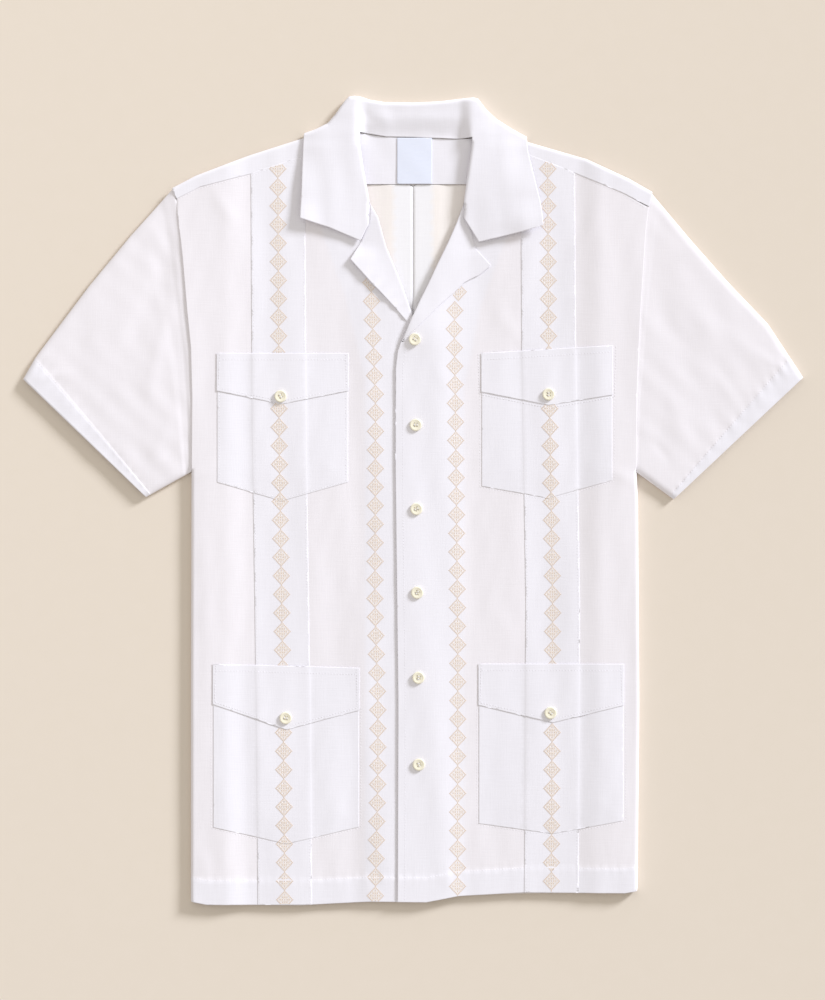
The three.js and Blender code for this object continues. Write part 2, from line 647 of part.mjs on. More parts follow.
// A sewn-through button: a disc with a raised rim, resting just clear of the cloth under it.
function button(name, { x, y }, side, layers) {
  const { radius, thick, rim, dish, sides } = BUTTON;
  const profile = [[0, 0], [radius - 1, 0], [radius, 1], [radius - 0.3, thick], [radius - rim, thick],
    [radius - rim - 0.7, thick - dish], [0, thick - dish]];
  const turned = new THREE.LatheGeometry(profile.map(([r, z]) => new THREE.Vector2(r, z)), sides);
  turned.rotateX(Math.PI / 2);
  const around = Array.from({ length: sides }, (_, k) => (2 * Math.PI * k) / sides);
  const rest = Math.max(...around.map((a) => (
    onFacet(raised(side, layers), x + radius * Math.cos(a), y + radius * Math.sin(a))
  )));
  turned.translate(x, y, rest);
  addPiece(name, toManifold(turned), 'button');
}

function label() {
  const { x, y, width, height, thick } = LABEL;
  const woven = new THREE.BoxGeometry(width, height, thick);
  woven.translate(x, y, lookup(YOKE_HEIGHT, 'x', x, 'z') + LAYER + thick / 2);
  addPiece('neck_label', toManifold(woven), 'label');
}

// A sleeve: one flattened tube from the armhole to the cuff, dipping where it is set in.
function sleeve(side) {
  const { edge, inner } = SLEEVE[side];
  const out = outside[side];
  const clear = GAP + 0.1;
  const rows = BODY_EDGE.slice(UNDERARM_ROW).map((row) => new THREE.Vector2(row[side] + out * clear, row.y));
  const shoulder = new THREE.Vector2(edge[0][0] + out * clear, edge[0][1]);
  const seat = new THREE.Path([shoulder, ...rows.reverse()]);
  const lengths = seat.getCurveLengths();
  const corners = lengths.slice(0, -1).map((length) => length / lengths[lengths.length - 1]);
  const across = [
    ...SLEEVE_EDGES,
    ...corners.filter((share) => share > 0.06 && share < 0.94).map((share) => ({ share, height: 1 })),
    ...SLEEVE_EDGES.map(({ share, height }) => ({ share: 1 - share, height })).reverse(),
  ];
  const outerEdge = new THREE.Path(edge.map(([x, y]) => new THREE.Vector2(x + out * clear, y)));
  const cuff = [outerEdge.getPointAt(1), new THREE.Vector2(...inner)];
  const place = (share, along) => {
    const straight = seat.getPointAt(share).lerp(cuff[0].clone().lerp(cuff[1], share), along);
    const bow = outerEdge.getPointAt(along).sub(shoulder.clone().lerp(cuff[0], along));
    return straight.add(bow.multiplyScalar(1 - share));
  };
  const loop = (row, shrink) => {
    const point = (share, level) => {
      const { x, y } = place(share + (0.5 - share) * 2 * (shrink / SLEEVE_SPAN), row.along);
      return new THREE.Vector3(x, y, THREE.MathUtils.lerp(row.bottom + shrink, row.top - shrink, level));
    };
    return [
      point(0, 0.5), ...across.map(({ share, height }) => point(share, height)),
      point(1, 0.5), ...across.map(({ share, height }) => point(share, 1 - height)).reverse(),
    ];
  };
  const outer = SLEEVE_ROWS.map((row) => loop(row, 0));
  const innerLoops = SLEEVE_ROWS.map((row) => loop(row, CLOTH));
  addPiece(`sleeve_${side}`, tubeWall(outer, innerLoops), 'cloth');
}

back();
yoke();
for (const side of ['left', 'right']) {
  front(side);
  facing(side);
  band(side);
  sleeve(side);
}
collar();
for (const row of POCKETS) {
  pocket(row);
  flap(row);
  button(`button_${row.name}`, row.button, row.front, 4);
}
FRONT_BUTTONS.forEach((place, k) => button(`button_front_${k + 1}`, place, 'left', 1));
label();

export default group;
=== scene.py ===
"""Looks of a men's short-sleeved guayabera laid flat, front up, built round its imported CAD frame.

Plan sizes and heights are in millimetres, in the CAD model's frame: +Y to the collar, +Z up.
"left" and "right" are the wearer's, so the wearer's left lies at +X.
"""

import math
from collections import namedtuple

import bpy
import numpy as np
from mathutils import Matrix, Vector
from mathutils.geometry import delaunay_2d_cdt
from mathutils.kdtree import KDTree


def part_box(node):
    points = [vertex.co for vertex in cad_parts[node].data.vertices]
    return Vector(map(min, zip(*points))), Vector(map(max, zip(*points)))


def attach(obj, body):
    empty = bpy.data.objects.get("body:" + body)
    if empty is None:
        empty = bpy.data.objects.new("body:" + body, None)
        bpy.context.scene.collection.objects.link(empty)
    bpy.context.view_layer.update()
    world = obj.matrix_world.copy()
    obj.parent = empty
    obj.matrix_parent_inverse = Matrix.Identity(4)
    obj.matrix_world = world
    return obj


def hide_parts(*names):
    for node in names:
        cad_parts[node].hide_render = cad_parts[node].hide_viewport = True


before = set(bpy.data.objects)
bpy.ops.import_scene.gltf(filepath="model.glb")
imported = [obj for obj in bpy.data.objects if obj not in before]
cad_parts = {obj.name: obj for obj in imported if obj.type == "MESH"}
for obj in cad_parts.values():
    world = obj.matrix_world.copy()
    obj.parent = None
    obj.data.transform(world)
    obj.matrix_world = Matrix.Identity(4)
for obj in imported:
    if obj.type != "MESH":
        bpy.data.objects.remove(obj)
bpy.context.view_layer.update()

# ---- driving dimensions --------------------------------------------------------------------------
MM = 0.001
CLOTH = 0.18  # thickness of one ply of linen
STEP_UP = 0.27  # from the middle of one ply to the middle of the next one lying on it
COLLAR_CLOTH = 0.7  # with its interlining
FINE = 3.4  # spacing of mesh points over a ply
COARSE = 6.0  # the same where little of the ply shows
RIM = 0.7  # a second row of points lies this far inside each edge
HEM_DEPTH = 24.0
HEM_STEP = 0.35  # how much higher its doubled cloth lies
TURN_UNDER = 57.0  # how far each side goes on behind
SIDE_REACH = 2.8  # how far a fold at the side bulges in plan, and the same along a lapel
LAPEL_REACH = 2.6
PLEAT_HALF = 19.0
BAND_HALF = 26.5
OUT = {"left": 1, "right": -1}  # which way each side lies along X

BODY_EDGE = {  # folded side up to the underarm, then the armhole
    "left": [(219.8, -400), (221.8, -200), (220.5, 0), (218.9, 30), (219.4, 102), (221.4, 150),
             (222.8, 180), (228.0, 262), (231.0, 288), (234.2, 302.8)],
    "right": [(-217.6, -400), (-217.6, -200), (-217.2, 0), (-217.1, 30), (-216.6, 102), (-217.8, 150),
              (-221.5, 187), (-226.0, 240), (-231.4, 286), (-236.6, 306.3)],
}
UNDERARM_ROW = 3  # the side fold's last point
UNDERARM_Y = 29.0
TURN_TOP_Y = 12.0  # where the turned part of a side ends
HEM = [(-225, -391.0), (-202, -395.4), (-110, -396.0), (-42, -392.5), (13, -393.0), (44, -387.1),
       (107, -383.6), (207, -384.1), (225, -381.0)]
RIDGE = {  # shoulder ridge, from the armhole to the neck
    "left": [(234.2, 302.8), (211.7, 315.6), (169.5, 335.2), (110.2, 352.5), (65.0, 364.0)],
    "right": [(-236.6, 306.3), (-213.0, 318.6), (-160.4, 338.7), (-105.4, 356.5), (-63.0, 366.0)],
}
YOKE_DEPTH = {"left": [15, 14.5, 16, 10, 12], "right": [10, 11, 17, 16, 13]}  # in front of the ridge
COLLAR_ROLL = {
    "left": [(50.0, 293.4), (54.5, 325), (57.5, 345), (59.0, 361)],
    "right": [(-43.0, 294.4), (-48.5, 325), (-51.5, 345), (-53.5, 361)],
}
LAPEL_ROLL = {
    "left": [(-10.5, 157.5), (-1.5, 179), (8.5, 200), (17.1, 217.5), (23.5, 231.3), (34.3, 253.3),
             (43.1, 273.4), (49.5, 291)],
    "right": [(7, 163), (-3.5, 191), (-12.7, 216.6), (-26.5, 249.9), (-34.3, 278.3), (-42.3, 292)],
}
LAPEL_EDGE = {
    "left": [(-3.5, 163.5), (7, 173), (27.9, 193.6), (51, 214.6), (64.7, 221.5), (76.4, 230.8), (60.8, 248)],
    "right": [(0, 169), (-18, 190), (-38, 211), (-61.2, 236.8), (-51.2, 253.6)],
}
LAPEL_LIFT = {"left": 0.8, "right": 3.4}  # how far each lapel's edge stands off the front
FRONT_EDGE = {
    "left": [(-15.1, -400), (-14.5, -197), (-17.2, 32), (-17, 129.4), (-14.9, 147), (-11.8, 155.2)],
    "right": [(18, -400), (18, 130), (12, 154)],
}
FRONT_NECK = {"left": [(57, 325), (64.5, 350)], "right": [(-51, 325), (-62.5, 351)]}
FACING_EDGE = {
    "left": [(50, -400), (50, 110), (66, 190), (92, 260), (98, 337)],
    "right": [(-47, -400), (-47, 120), (-66, 200), (-88, 260), (-95, 337)],
}
YOKE_NECK = [(-56, 362.5), (-52, 361), (-26, 356.9), (0, 356.4), (41.8, 354.7), (58, 355.4)]
YOKE_SEAM_Y = 310.7  # the back yoke's lower edge: level near the centre, lower at the armholes
YOKE_LEVEL = 60.0
YOKE_ARM_DROP = 36.0
YOKE_COVER = 0.6  # how far the yoke's front edge covers the front
SEAM_GAP = 0.3
COLLAR_TOP = [(-106.5, 360.4), (-96, 364), (-83.8, 370), (-76, 379), (-70.6, 387), (-66, 393), (-62.7, 396.2),
              (-57, 396.9), (-51, 396), (-42, 393), (-28.4, 390.9), (0, 390.4), (26, 391.6), (50, 394.5),
              (59, 395.2), (63.7, 394.1), (67, 389.5), (71.5, 383.6), (82, 374), (96, 365), (111, 356.8)]
COLLAR_LEAF = {
    "left": [(125, 290), (127.4, 270), (106.8, 263.8), (64.6, 253.8)],
    "right": [(-108.9, 305), (-110.3, 276.9), (-81.3, 267.7), (-51.4, 255)],
}
COLLAR_SEAM = [(-52, 361.8), (-26, 357.6), (0, 357.1), (41.8, 355.4), (58, 356.2)]
BANDS = {  # middle of each stitched-on band
    "left": [(135.5, -400), (137, -100), (133, 150), (132, 345)],
    "right": [(-125.5, -400), (-127, -200), (-131, 60), (-132.5, 345)],
}
Pocket = namedtuple("Pocket", "name front left right top_left top_right low_left low_right tip flap")
POCKETS = [  # side edges, their top and bottom ends, the tip, and the flap's left end, point and right end
    Pocket("chest_right", "right", -191.7, -63.7, 144.4, 144.4, 18.4, 18.4, (-128.7, 0), (108, 95, 108)),
    Pocket("chest_left", "left", 67.4, 195.0, 144.4, 151.9, 14.5, 20.3, (132.6, 2.9), (107, 94, 104)),
    Pocket("waist_right", "right", -195.5, -53.1, -160, -164, -319.5, -319.5, (-124.2, -336),
           (-199, -224, -205)),
    Pocket("waist_left", "left", 64.6, 206.0, -160, -160, -316, -313, (137.2, -326), (-200, -217, -200)),
]
FRONT_HEIGHT = {  # middle of each front by distance across
    "left": [(-40, 6.9), (20, 6.9), (60, 4.8), (140, 4.8), (160, 5.2), (186, 7.3), (260, 7.3)],
    "right": [(-260, 7.3), (-186, 7.3), (-160, 5.2), (-140, 4.8), (-60, 4.8), (-40, 5.5), (40, 5.5)],
}
YOKE_HEIGHT = [(-260, 3.1), (-160, 3.1), (-140, 2.0), (140, 2.0), (160, 3.1), (260, 3.1)]
UNDERSIDE = 0.35  # height of the plies next to the floor

# Under the top button the left front is pushed up by the right lapel's start.
OVERLAP_SWELL = {"left": 1.9, "right": 0.0}
OVERLAP_X = 2
OVERLAP_Y = 172
OVERLAP_SPREAD = 26

# Collar: middle of the upper ply, rows by y, columns by distance from the centre line.
COLLAR_ACROSS = [45, 58, 84, 110]
COLLAR_HEIGHT = [
    (250, [7.9, 8.0, 9.4, 10.6]), (272, [8.0, 8.2, 9.4, 11.8]), (300, [8.3, 8.6, 9.2, 10.2]),
    (345, [8.6, 9.2, 8.6, 7.5]), (357, [2.6, 9.2, 8.2, 6.6]), (378, [5.4, 8.6, 7.2, 6.2]),
    (400, [6.4, 7.8, 6.4, 6.0]),
]
SLEEVE = {  # outer edge from shoulder to cuff, and the cuff's inner corner
    "right": ([(-237, 306.3), (-279.4, 259.3), (-319.8, 210.5), (-372, 141), (-384.2, 119.6)], (-261.7, 3.9)),
    "left": ([(234.6, 302.8), (274.4, 255.6), (310.7, 214.6), (350, 173.5), (384.4, 121.2)], (255.5, 1.8)),
}
SLEEVE_TOP = {  # height of the upper ply along the sleeve: the seam, the valley beside it, the rest
    "right": [(0, 6.95), (0.045, 6.35), (0.09, 5.8), (0.14, 5.8), (0.22, 6.2), (0.4, 6.2), (1, 5.6)],
    "left": [(0, 6.9), (0.04, 6.5), (0.08, 6.3), (0.14, 6.3), (0.4, 6.2), (1, 5.6)],
}
SLEEVE_BOTTOM = [(0, 3.0), (0.06, 2.3), (0.17, 1.1), (0.35, 0.4), (1, 0.4)]
CUFF_DEPTH = 23.0
CUFF_GATHER = {"left": 0.26, "right": 0.16}
SLEEVE_TUCK = 2.0  # the sleeve starts this far inside the armhole
SLEEVE_WIDTH = 168  # about, for the cuff's gathers
POCKET_PUFF = 0.34  # how far a pocket stands off its front, and a flap off its pocket
FLAP_PUFF = 0.08
FLAP_SPARE = 0.6  # how far a flap reaches past its pocket's sides, and above its top
FLAP_ABOVE = 0.5
SLEEVE_SOFTNESS = 0.55
FRONT_SOFTNESS = 0.6

# Creases and soft folds, placed one by one. A row's columns are the names in Crease; angles are degrees from
# +X.
Crease = namedtuple("Crease", "x y angle length width height")
FRONT_CREASES = [
    (-84, 60, 88, 380, 26, 0.8), (-100, -110, 92, 180, 22, 0.7), (-190, -250, 90, 300, 20, 0.6),
    (84, 30, 91, 400, 26, 0.8), (176, -60, 89, 220, 20, 0.6), (60, -330, 90, 180, 22, 0.6),
    (-60, -60, 93, 260, 12, 0.5), (20, -40, 90, 420, 11, -0.35), (112, 210, 78, 150, 14, 0.8),
    (-168, 236, 100, 140, 13, 0.8), (-196, 120, 84, 200, 12, -0.7), (196, 120, 97, 190, 12, -0.6),
    (-88, 196, 60, 90, 9, 0.6), (98, 170, 118, 80, 8, 0.5), (-20, -330, 80, 130, 14, 0.5),
    (-206, -120, 91, 330, 7, 0.5), (208, -180, 89, 380, 7, -0.5), (170, 262, 62, 90, 8, 0.8),
    (-184, 292, 118, 70, 7, 0.8), (190, -350, 84, 70, 6, 0.5), (-206, -362, 97, 60, 6, 0.6),
    (-34, -372, 84, 50, 7, -0.6), (36, -368, 98, 46, 6, 0.6), (150, 196, 40, 60, 6, 0.45),
    (-30, 140, 58, 60, 6, 0.4), (26, 120, 120, 50, 6, 0.4), (-60, -204, 24, 60, 7, 0.4),
    (-206, 30, 40, 50, 6, 0.7), (204, 24, 138, 52, 6, 0.7), (90, -130, 100, 70, 9, 0.5),
]
SLEEVE_CREASES = [
    (-262, 196, 64, 190, 11, -1.5), (-246, 150, 78, 150, 7, 1.0), (-300, 150, 52, 130, 10, 0.9),
    (-330, 150, 40, 90, 7, -0.7), (-352, 122, 20, 56, 5, 0.9), (-366, 136, 50, 44, 4, 0.7),
    (-256, 262, 122, 60, 7, 1.0), (-250, 60, 66, 90, 7, 0.8), (-290, 70, 48, 90, 8, 0.6),
    (-236, 52, 30, 46, 5, -0.8), (-312, 90, 42, 60, 5, -0.5), (250, 190, 116, 180, 10, -1.0),
    (286, 170, 124, 140, 10, 0.9), (322, 150, 136, 110, 8, 0.8), (352, 134, 150, 64, 5, 0.9),
    (364, 146, 128, 44, 4, -0.7), (262, 84, 112, 110, 8, 0.8), (296, 80, 128, 90, 7, -0.7),
    (240, 50, 140, 50, 5, -0.8), (330, 104, 132, 60, 5, 0.6), (270, 246, 60, 50, 7, 0.8),
    (304, 112, 118, 70, 5, 0.5),
]
COLLAR_CREASES = [
    (-30, 372, 118, 40, 7, 0.6), (-46, 380, 128, 34, 5, -0.7), (24, 374, 80, 30, 9, 0.4),
    (-86, 320, 96, 110, 12, 0.5), (92, 318, 84, 100, 12, 0.5), (90, 276, 30, 40, 6, 0.4),
]

# Diamond columns worked in thread: a diamond is a chart of small stitches.
EMBROIDERY_CLEAR = 0.8  # the least distance from its stitches to a hem, seam or lapel edge
STITCH = 1.22  # height of one stitch of the chart
NARROW = 0.92  # its width, as a share of its height
DIAMOND_RINGS = 7  # stitches from a diamond's middle to its point
DIAMOND_PITCH = 18.2
INNER_COLUMNS = {
    "left": [(43.6, -400), (44, -150), (42.6, 0), (41.5, 100), (40.2, 182), (46, 214)],
    "right": [(-37.2, -400), (-34.3, -270), (-34.3, -200), (-37.2, -100), (-36.6, 100), (-41, 205),
              (-42, 240)],
}


# ---- numbers over a plane ------------------------------------------------------------------------
def lookup(rows, at):
    """Eased steps through a table of (place, value) rows."""
    places, values = (np.array(column, float) for column in zip(*rows))
    at = np.clip(at, places[0], places[-1])
    k = np.clip(np.searchsorted(places, at, side="right") - 1, 0, len(places) - 2)
    share = (at - places[k]) / (places[k + 1] - places[k])
    return values[k] + (values[k + 1] - values[k]) * ease(share)


def line_at(line, at, key=1):
    """Where a line in plan is at this y (key 1) or at this x (key 0)."""
    rows = sorted(line, key=lambda point: point[key])
    return np.interp(at, [p[key] for p in rows], [p[1 - key] for p in rows])


def ease(share):
    share = np.clip(share, 0, 1)
    return share * share * (3 - 2 * share)


def relief(creases, x, y):
    """Height that the creases add."""
    total = np.zeros_like(x, dtype=float)
    for crease in map(Crease._make, creases):
        c, s = heading(crease.angle)
        along = ((x - crease.x) * c + (y - crease.y) * s) / (crease.length / 2)
        bow = crease.width * 0.5 * np.sin(2.2 * along + crease.x)
        across = ((y - crease.y) * c - (x - crease.x) * s + bow) / crease.width
        total += crease.height * np.exp(-across ** 2) * np.cos(np.clip(along, -1, 1) * math.pi / 2) ** 2
    return total


def ripples(x, y, seed, size, height, stretch=1.0):
    """Gentle unevenness: a few seeded waves, longer along Y by stretch."""
    draw = np.random.default_rng(seed)
    total = np.zeros_like(x, dtype=float)
    waves = 7
    for _ in range(waves):
        angle, phase, scale = draw.uniform(-0.9, 0.9), draw.uniform(0, 2 * math.pi), draw.uniform(0.6, 1.5)
        across = x * math.cos(angle) + y * math.sin(angle) / stretch
        total += np.sin(across * 2 * math.pi / (size * scale) + phase)
    return total * height / waves


def pucker(distance, along, height=0.12, pitch=8.5):
    """Small gathers that a row of stitching leaves on both sides of it."""
    wave = np.sin(along * 2 * math.pi / pitch + 1.7 * np.sin(along / 23.0))
    return height * wave * np.exp(-(np.abs(distance) / 6.0) ** 1.5)


def inside(outline, x, y):
    """True where points lie inside a closed outline."""
    points = np.array(outline, float)
    ax, ay = points[:, 0], points[:, 1]
    bx, by = np.roll(ax, -1), np.roll(ay, -1)
    found = np.zeros(np.shape(x), bool)
    for k in range(len(points)):
        if ay[k] == by[k]:
            continue
        between = (ay[k] > y) != (by[k] > y)
        found ^= between & (x < (bx[k] - ax[k]) * (y - ay[k]) / (by[k] - ay[k]) + ax[k])
    return found


def resample(line, spacing, closed=False):
    """Points along a line, its corners kept."""
    line = [np.array(p, float) for p in line]
    ends = line[1:] + line[:1] if closed else line[1:]
    result = []
    for a, b in zip(line, ends):
        count = max(1, int(round(np.linalg.norm(b - a) / spacing)))
        result += [a + (b - a) * k / count for k in range(count)]
    if not closed:
        result.append(line[-1])
    return np.array(result)


def offset(line, distance):
    """The line moved to its left by a distance."""
    ahead = directions(line)
    return [tuple(p) for p in np.array(line, float) + np.stack([-ahead[:, 1], ahead[:, 0]], 1) * distance]


def distance_from(points, x, y):
    """How far each place is from the nearest of some points."""
    tree = KDTree(len(points))
    for k, (px, py) in enumerate(points):
        tree.insert((px, py, 0), k)
    tree.balance()
    found = [tree.find((px, py, 0))[2] for px, py in zip(np.ravel(x), np.ravel(y))]
    return np.array(found).reshape(np.shape(x))


def distance_to(line, x, y, spacing=1.0):
    return distance_from(resample(line, spacing), x, y)


def pick(where, first, second):
    """Places from the first where true, else from the second."""
    return tuple(np.where(where, a, b) for a, b in zip(first, second))


def level(height):
    """A height that is the same everywhere."""
    return lambda x, y: np.full_like(x, height)


def heading(angle):
    """Unit vector that many degrees from +X."""
    return np.array([math.cos(math.radians(angle)), math.sin(math.radians(angle))])


def directions(line):
    """Unit vectors along a line at its points."""
    ahead = np.gradient(np.array(line, float), axis=0)
    return ahead / np.linalg.norm(ahead, axis=1)[:, None]


# ---- a soft fold ---------------------------------------------------------------------------------
class Fold:
    """Cloth past a line goes round half an ellipse and lies back on the line's inner side."""

    def __init__(self, line, toward, reach, before, after, rise):
        self.out = heading(toward)
        self.along = np.array([-self.out[1], self.out[0]])
        points = np.array(line, float)
        order = np.argsort(points @ self.along)
        self.u = (points @ self.along)[order]
        self.v = (points @ self.out)[order]
        self.reach = reach
        self.before = before
        self.after = after
        self.arc = math.pi * math.sqrt((reach ** 2 + (rise / 2) ** 2) / 2)

    def place(self, x, y):
        u = x * self.along[0] + y * self.along[1]
        v = x * self.out[0] + y * self.out[1]
        start = np.interp(u, self.u, self.v) - self.reach
        past = v - start
        turn = np.clip(past / self.arc, 0, 1) * math.pi
        v = np.where(past > 0, start + self.reach * np.sin(turn) - np.maximum(past - self.arc, 0), v)
        x = u * self.along[0] + v * self.out[0]
        y = u * self.along[1] + v * self.out[1]
        low, high = self.before(x, y), self.after(x, y)
        return x, y, (low + high) / 2 + (low - high) / 2 * np.cos(turn)

    def flat(self, points):
        """Where points of the turned part lie before it is turned."""
        points = np.array(points, float)
        u, v = points @ self.along, points @ self.out
        start = np.interp(u, self.u, self.v) - self.reach
        v = start + self.arc + (start - v)
        return [tuple(p) for p in u[:, None] * self.along + v[:, None] * self.out]

    def rows(self, spacing=3.0, count=7):
        """Mesh points round the fold."""
        line = resample(list(zip(self.u, self.v)), spacing)
        rows = []
        for k in range(-1, count + 2):
            v = line[:, 1] - self.reach + self.arc * k / count
            rows.append(line[:, :1] * self.along + v[:, None] * self.out)
        return np.concatenate(rows)


# ---- meshes --------------------------------------------------------------------------------------
def fill(outline, spacing, rows=()):
    """Points and triangles over an outline, with extra points on the given rows."""
    edge = resample(outline, spacing, closed=True)
    loop = np.vstack([edge, edge[:1]])
    rim = np.array(offset(loop, RIM))[:-1]
    if not inside(outline, *rim.T).mean() > 0.5:
        rim = np.array(offset(loop, -RIM))[:-1]
    extra = np.concatenate([rim] + [np.array(row, float) for row in rows if len(row)])
    extra = extra[inside(outline, *extra.T)]
    extra = extra[distance_from(edge, *extra.T) > 0.45]
    low, high = edge.min(0), edge.max(0)
    grid = []
    for j, y in enumerate(np.arange(low[1], high[1], spacing * 0.87)):
        xs = np.arange(low[0] + (j % 2) * spacing / 2, high[0], spacing)
        grid.append(np.stack([xs, np.full_like(xs, y)], 1))
    grid = np.concatenate(grid)
    grid = grid[inside(outline, *grid.T)]
    grid = grid[distance_from(np.concatenate([edge, extra]), *grid.T) > spacing * 0.55]
    points = [Vector(p) for p in np.concatenate([edge, extra, grid])]
    result = delaunay_2d_cdt(points, [], [list(range(len(edge)))], 0, 1e-4, False)
    points, triangles = np.array([tuple(p) for p in result[0]]), np.array(result[2])
    middle = points[triangles].mean(1)
    return points, triangles[inside(outline, *middle.T)]


def normals_of(points, triangles):
    a, b, c = (points[triangles[:, k]] for k in range(3))
    face = np.cross(b - a, c - a)
    total = np.zeros_like(points)
    for k in range(3):
        np.add.at(total, triangles[:, k], face)
    return total / np.maximum(np.linalg.norm(total, axis=1), 1e-12)[:, None]


def shell(name, points, triangles, thick, material, plies):
    """A closed thin shell about a middle surface, with rounded edges."""
    normal = normals_of(points, triangles)
    count = len(points)
    directed = set()
    for a, b, c in triangles:
        directed.update([(a, b), (b, c), (c, a)])
    border = sorted((a, b) for a, b in directed if (b, a) not in directed)
    outward = np.zeros_like(points)
    for a, b in border:
        push = np.cross(points[b] - points[a], normal[a] + normal[b])
        outward[a] += push
        outward[b] += push
    rim = sorted({a for a, _ in border})
    rim_at = {a: 2 * count + k for k, a in enumerate(rim)}
    length = np.maximum(np.linalg.norm(outward[rim], axis=1), 1e-12)[:, None]
    rounded = points[rim] + outward[rim] / length * thick * 0.4
    vertices = np.concatenate([points + normal * thick / 2, points - normal * thick / 2, rounded])
    faces = [tuple(t) for t in triangles.tolist()]
    faces += [(a + count, c + count, b + count) for a, b, c in triangles.tolist()]
    for a, b in border:
        faces.append((b, a, rim_at[a], rim_at[b]))
        faces.append((rim_at[b], rim_at[a], a + count, b + count))
    piece = mesh_object(name, vertices, faces, material)
    layer = piece.data.attributes.new("plies", "FLOAT", "POINT")
    layer.data.foreach_set("value", np.concatenate([plies, plies, plies[rim]]).astype(np.float32))
    return piece


def mesh_object(name, vertices, faces, *materials):
    mesh = bpy.data.meshes.new(name)
    mesh.from_pydata((np.array(vertices) * MM).tolist(), [], faces)
    mesh.polygons.foreach_set("use_smooth", [True] * len(mesh.polygons))
    mesh.update()
    for material in materials:
        mesh.materials.append(material)
    piece = bpy.data.objects.new(name, mesh)
    bpy.context.scene.collection.objects.link(piece)
    return piece


def finish_piece(piece, slot, *nodes):
    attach(piece, "root")
    if nodes:
        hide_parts(*nodes)
    return piece


def cloth_piece(node, outline, place, material, *, rows=(), plies=None,
                thick=CLOTH, spacing=FINE, slot="shirt_cloth"):
    """A ply cut to an outline in the flat, then laid by place(x, y).

    plies(x, y) is 1 where the cloth is double and 0 where it is single; without it, all is double.
    """
    flat, triangles = fill(outline, spacing, rows)
    x, y, z = place(flat[:, 0], flat[:, 1])
    double = plies(x, y) if plies else np.ones(len(x))
    piece = shell(f"{node}_cloth", np.stack([x, y, z], 1), triangles, thick, material, double)
    finish_piece(piece, slot, node)


# ---- materials -----------------------------------------------------------------------------------
class Nodes:
    """A material's node tree, built a node at a time."""

    def __init__(self, name):
        self.material = bpy.data.materials.new(name)
        self.material.use_nodes = True
        self.tree = self.material.node_tree
        self.shader = self.tree.nodes["Principled BSDF"]

    def put(self, socket, value):
        """Link a socket, or give it a number or a colour."""
        if isinstance(value, bpy.types.NodeSocket):
            self.tree.links.new(value, socket)
        else:
            socket.default_value = value

    def add(self, kind, values=(), **settings):
        node = self.tree.nodes.new("ShaderNode" + kind)
        for key, value in settings.items():
            setattr(node, key, value)
        for key, value in dict(values).items():
            self.put(node.inputs[key], value)
        return node

    def noise(self, scale, stretch, detail=2.0):
        place = self.add("TexCoord").outputs["Object"]
        mapped = self.add("Mapping", {"Vector": place, "Scale": stretch}).outputs[0]
        return self.add("TexNoise", {"Vector": mapped, "Scale": scale, "Detail": detail}).outputs[0]

    def math(self, operation, *values):
        return self.add("Math", dict(enumerate(values)), operation=operation).outputs[0]

    def mix(self, share, first, second):
        return self.add("Mix", {0: share, 6: first, 7: second}, data_type="RGBA").outputs[2]

    def bump(self, height, strength, distance=0.0002):
        node = self.add("Bump", {"Height": height, "Strength": strength, "Distance": distance})
        self.put(self.shader.inputs["Normal"], node.outputs[0])

    def finish(self, base, **values):
        """The material, its shader's inputs filled; underscores stand for spaces."""
        self.put(self.shader.inputs["Base Color"], base)
        for key, value in values.items():
            self.put(self.shader.inputs[key.replace("_", " ")], value)
        return self.material


def colour(red, green, blue):
    """An sRGB colour, given as 0 to 255, as a linear one."""
    values = [v / 255 for v in (red, green, blue)]
    return tuple(v / 12.92 if v <= 0.04045 else ((v + 0.055) / 1.055) ** 2.4 for v in values) + (1.0,)


def linen(name, single, double):
    """Linen and cotton: plain weave with slubs both ways, thinner and warmer where it is one ply."""
    weave, slub = 0.10, 0.035
    nodes = Nodes(name)
    warp = nodes.noise(1.0, (820, 60, 300))
    weft = nodes.noise(1.0, (55, 860, 300))
    cloudy = nodes.noise(9.0, (1, 1, 1), 3.0)
    threads = nodes.math("ADD", warp, weft)
    plies = nodes.add("Attribute", attribute_name="plies").outputs["Fac"]
    base = nodes.mix(plies, single, double)
    shade = nodes.math("MULTIPLY_ADD", threads, slub, 1 - slub)
    tinted = nodes.add("HueSaturation", {"Color": base, "Value": shade}).outputs[0]
    drift = nodes.math("MULTIPLY_ADD", cloudy, 0.10, -0.03)
    nodes.bump(threads, weave, 0.0006)
    return nodes.finish(nodes.mix(drift, tinted, single), Roughness=0.86, Sheen_Weight=0.12,
                        Sheen_Roughness=0.5, Specular_IOR_Level=0.2)


def thread(name, tint, deep):
    """Embroidery and sewing thread: soft lustre, a little uneven."""
    nodes = Nodes(name)
    twist = nodes.noise(1.0, (1500, 1500, 900))
    nodes.bump(twist, 0.4)
    return nodes.finish(nodes.mix(twist, tint, deep), Roughness=0.55, Sheen_Weight=0.2,
                        Specular_IOR_Level=0.35)


def pearl(name):
    """Shell: cream with cloudy bands under a hard polish."""
    nodes = Nodes(name)
    bands = nodes.noise(160.0, (1, 2.2, 1), 4.0)
    return nodes.finish(nodes.mix(bands, colour(250, 244, 222), colour(242, 234, 208)), Roughness=0.24,
                        Coat_Weight=0.5, Coat_Roughness=0.08, Specular_IOR_Level=0.6)


def woven_label(name):
    """Close satin weave, cool white."""
    nodes = Nodes(name)
    ribs = nodes.noise(1.0, (90, 2400, 300))
    nodes.bump(ribs, 0.2)
    return nodes.finish(nodes.mix(ribs, colour(228, 233, 250), colour(238, 241, 252)), Roughness=0.5,
                        Sheen_Weight=0.15)


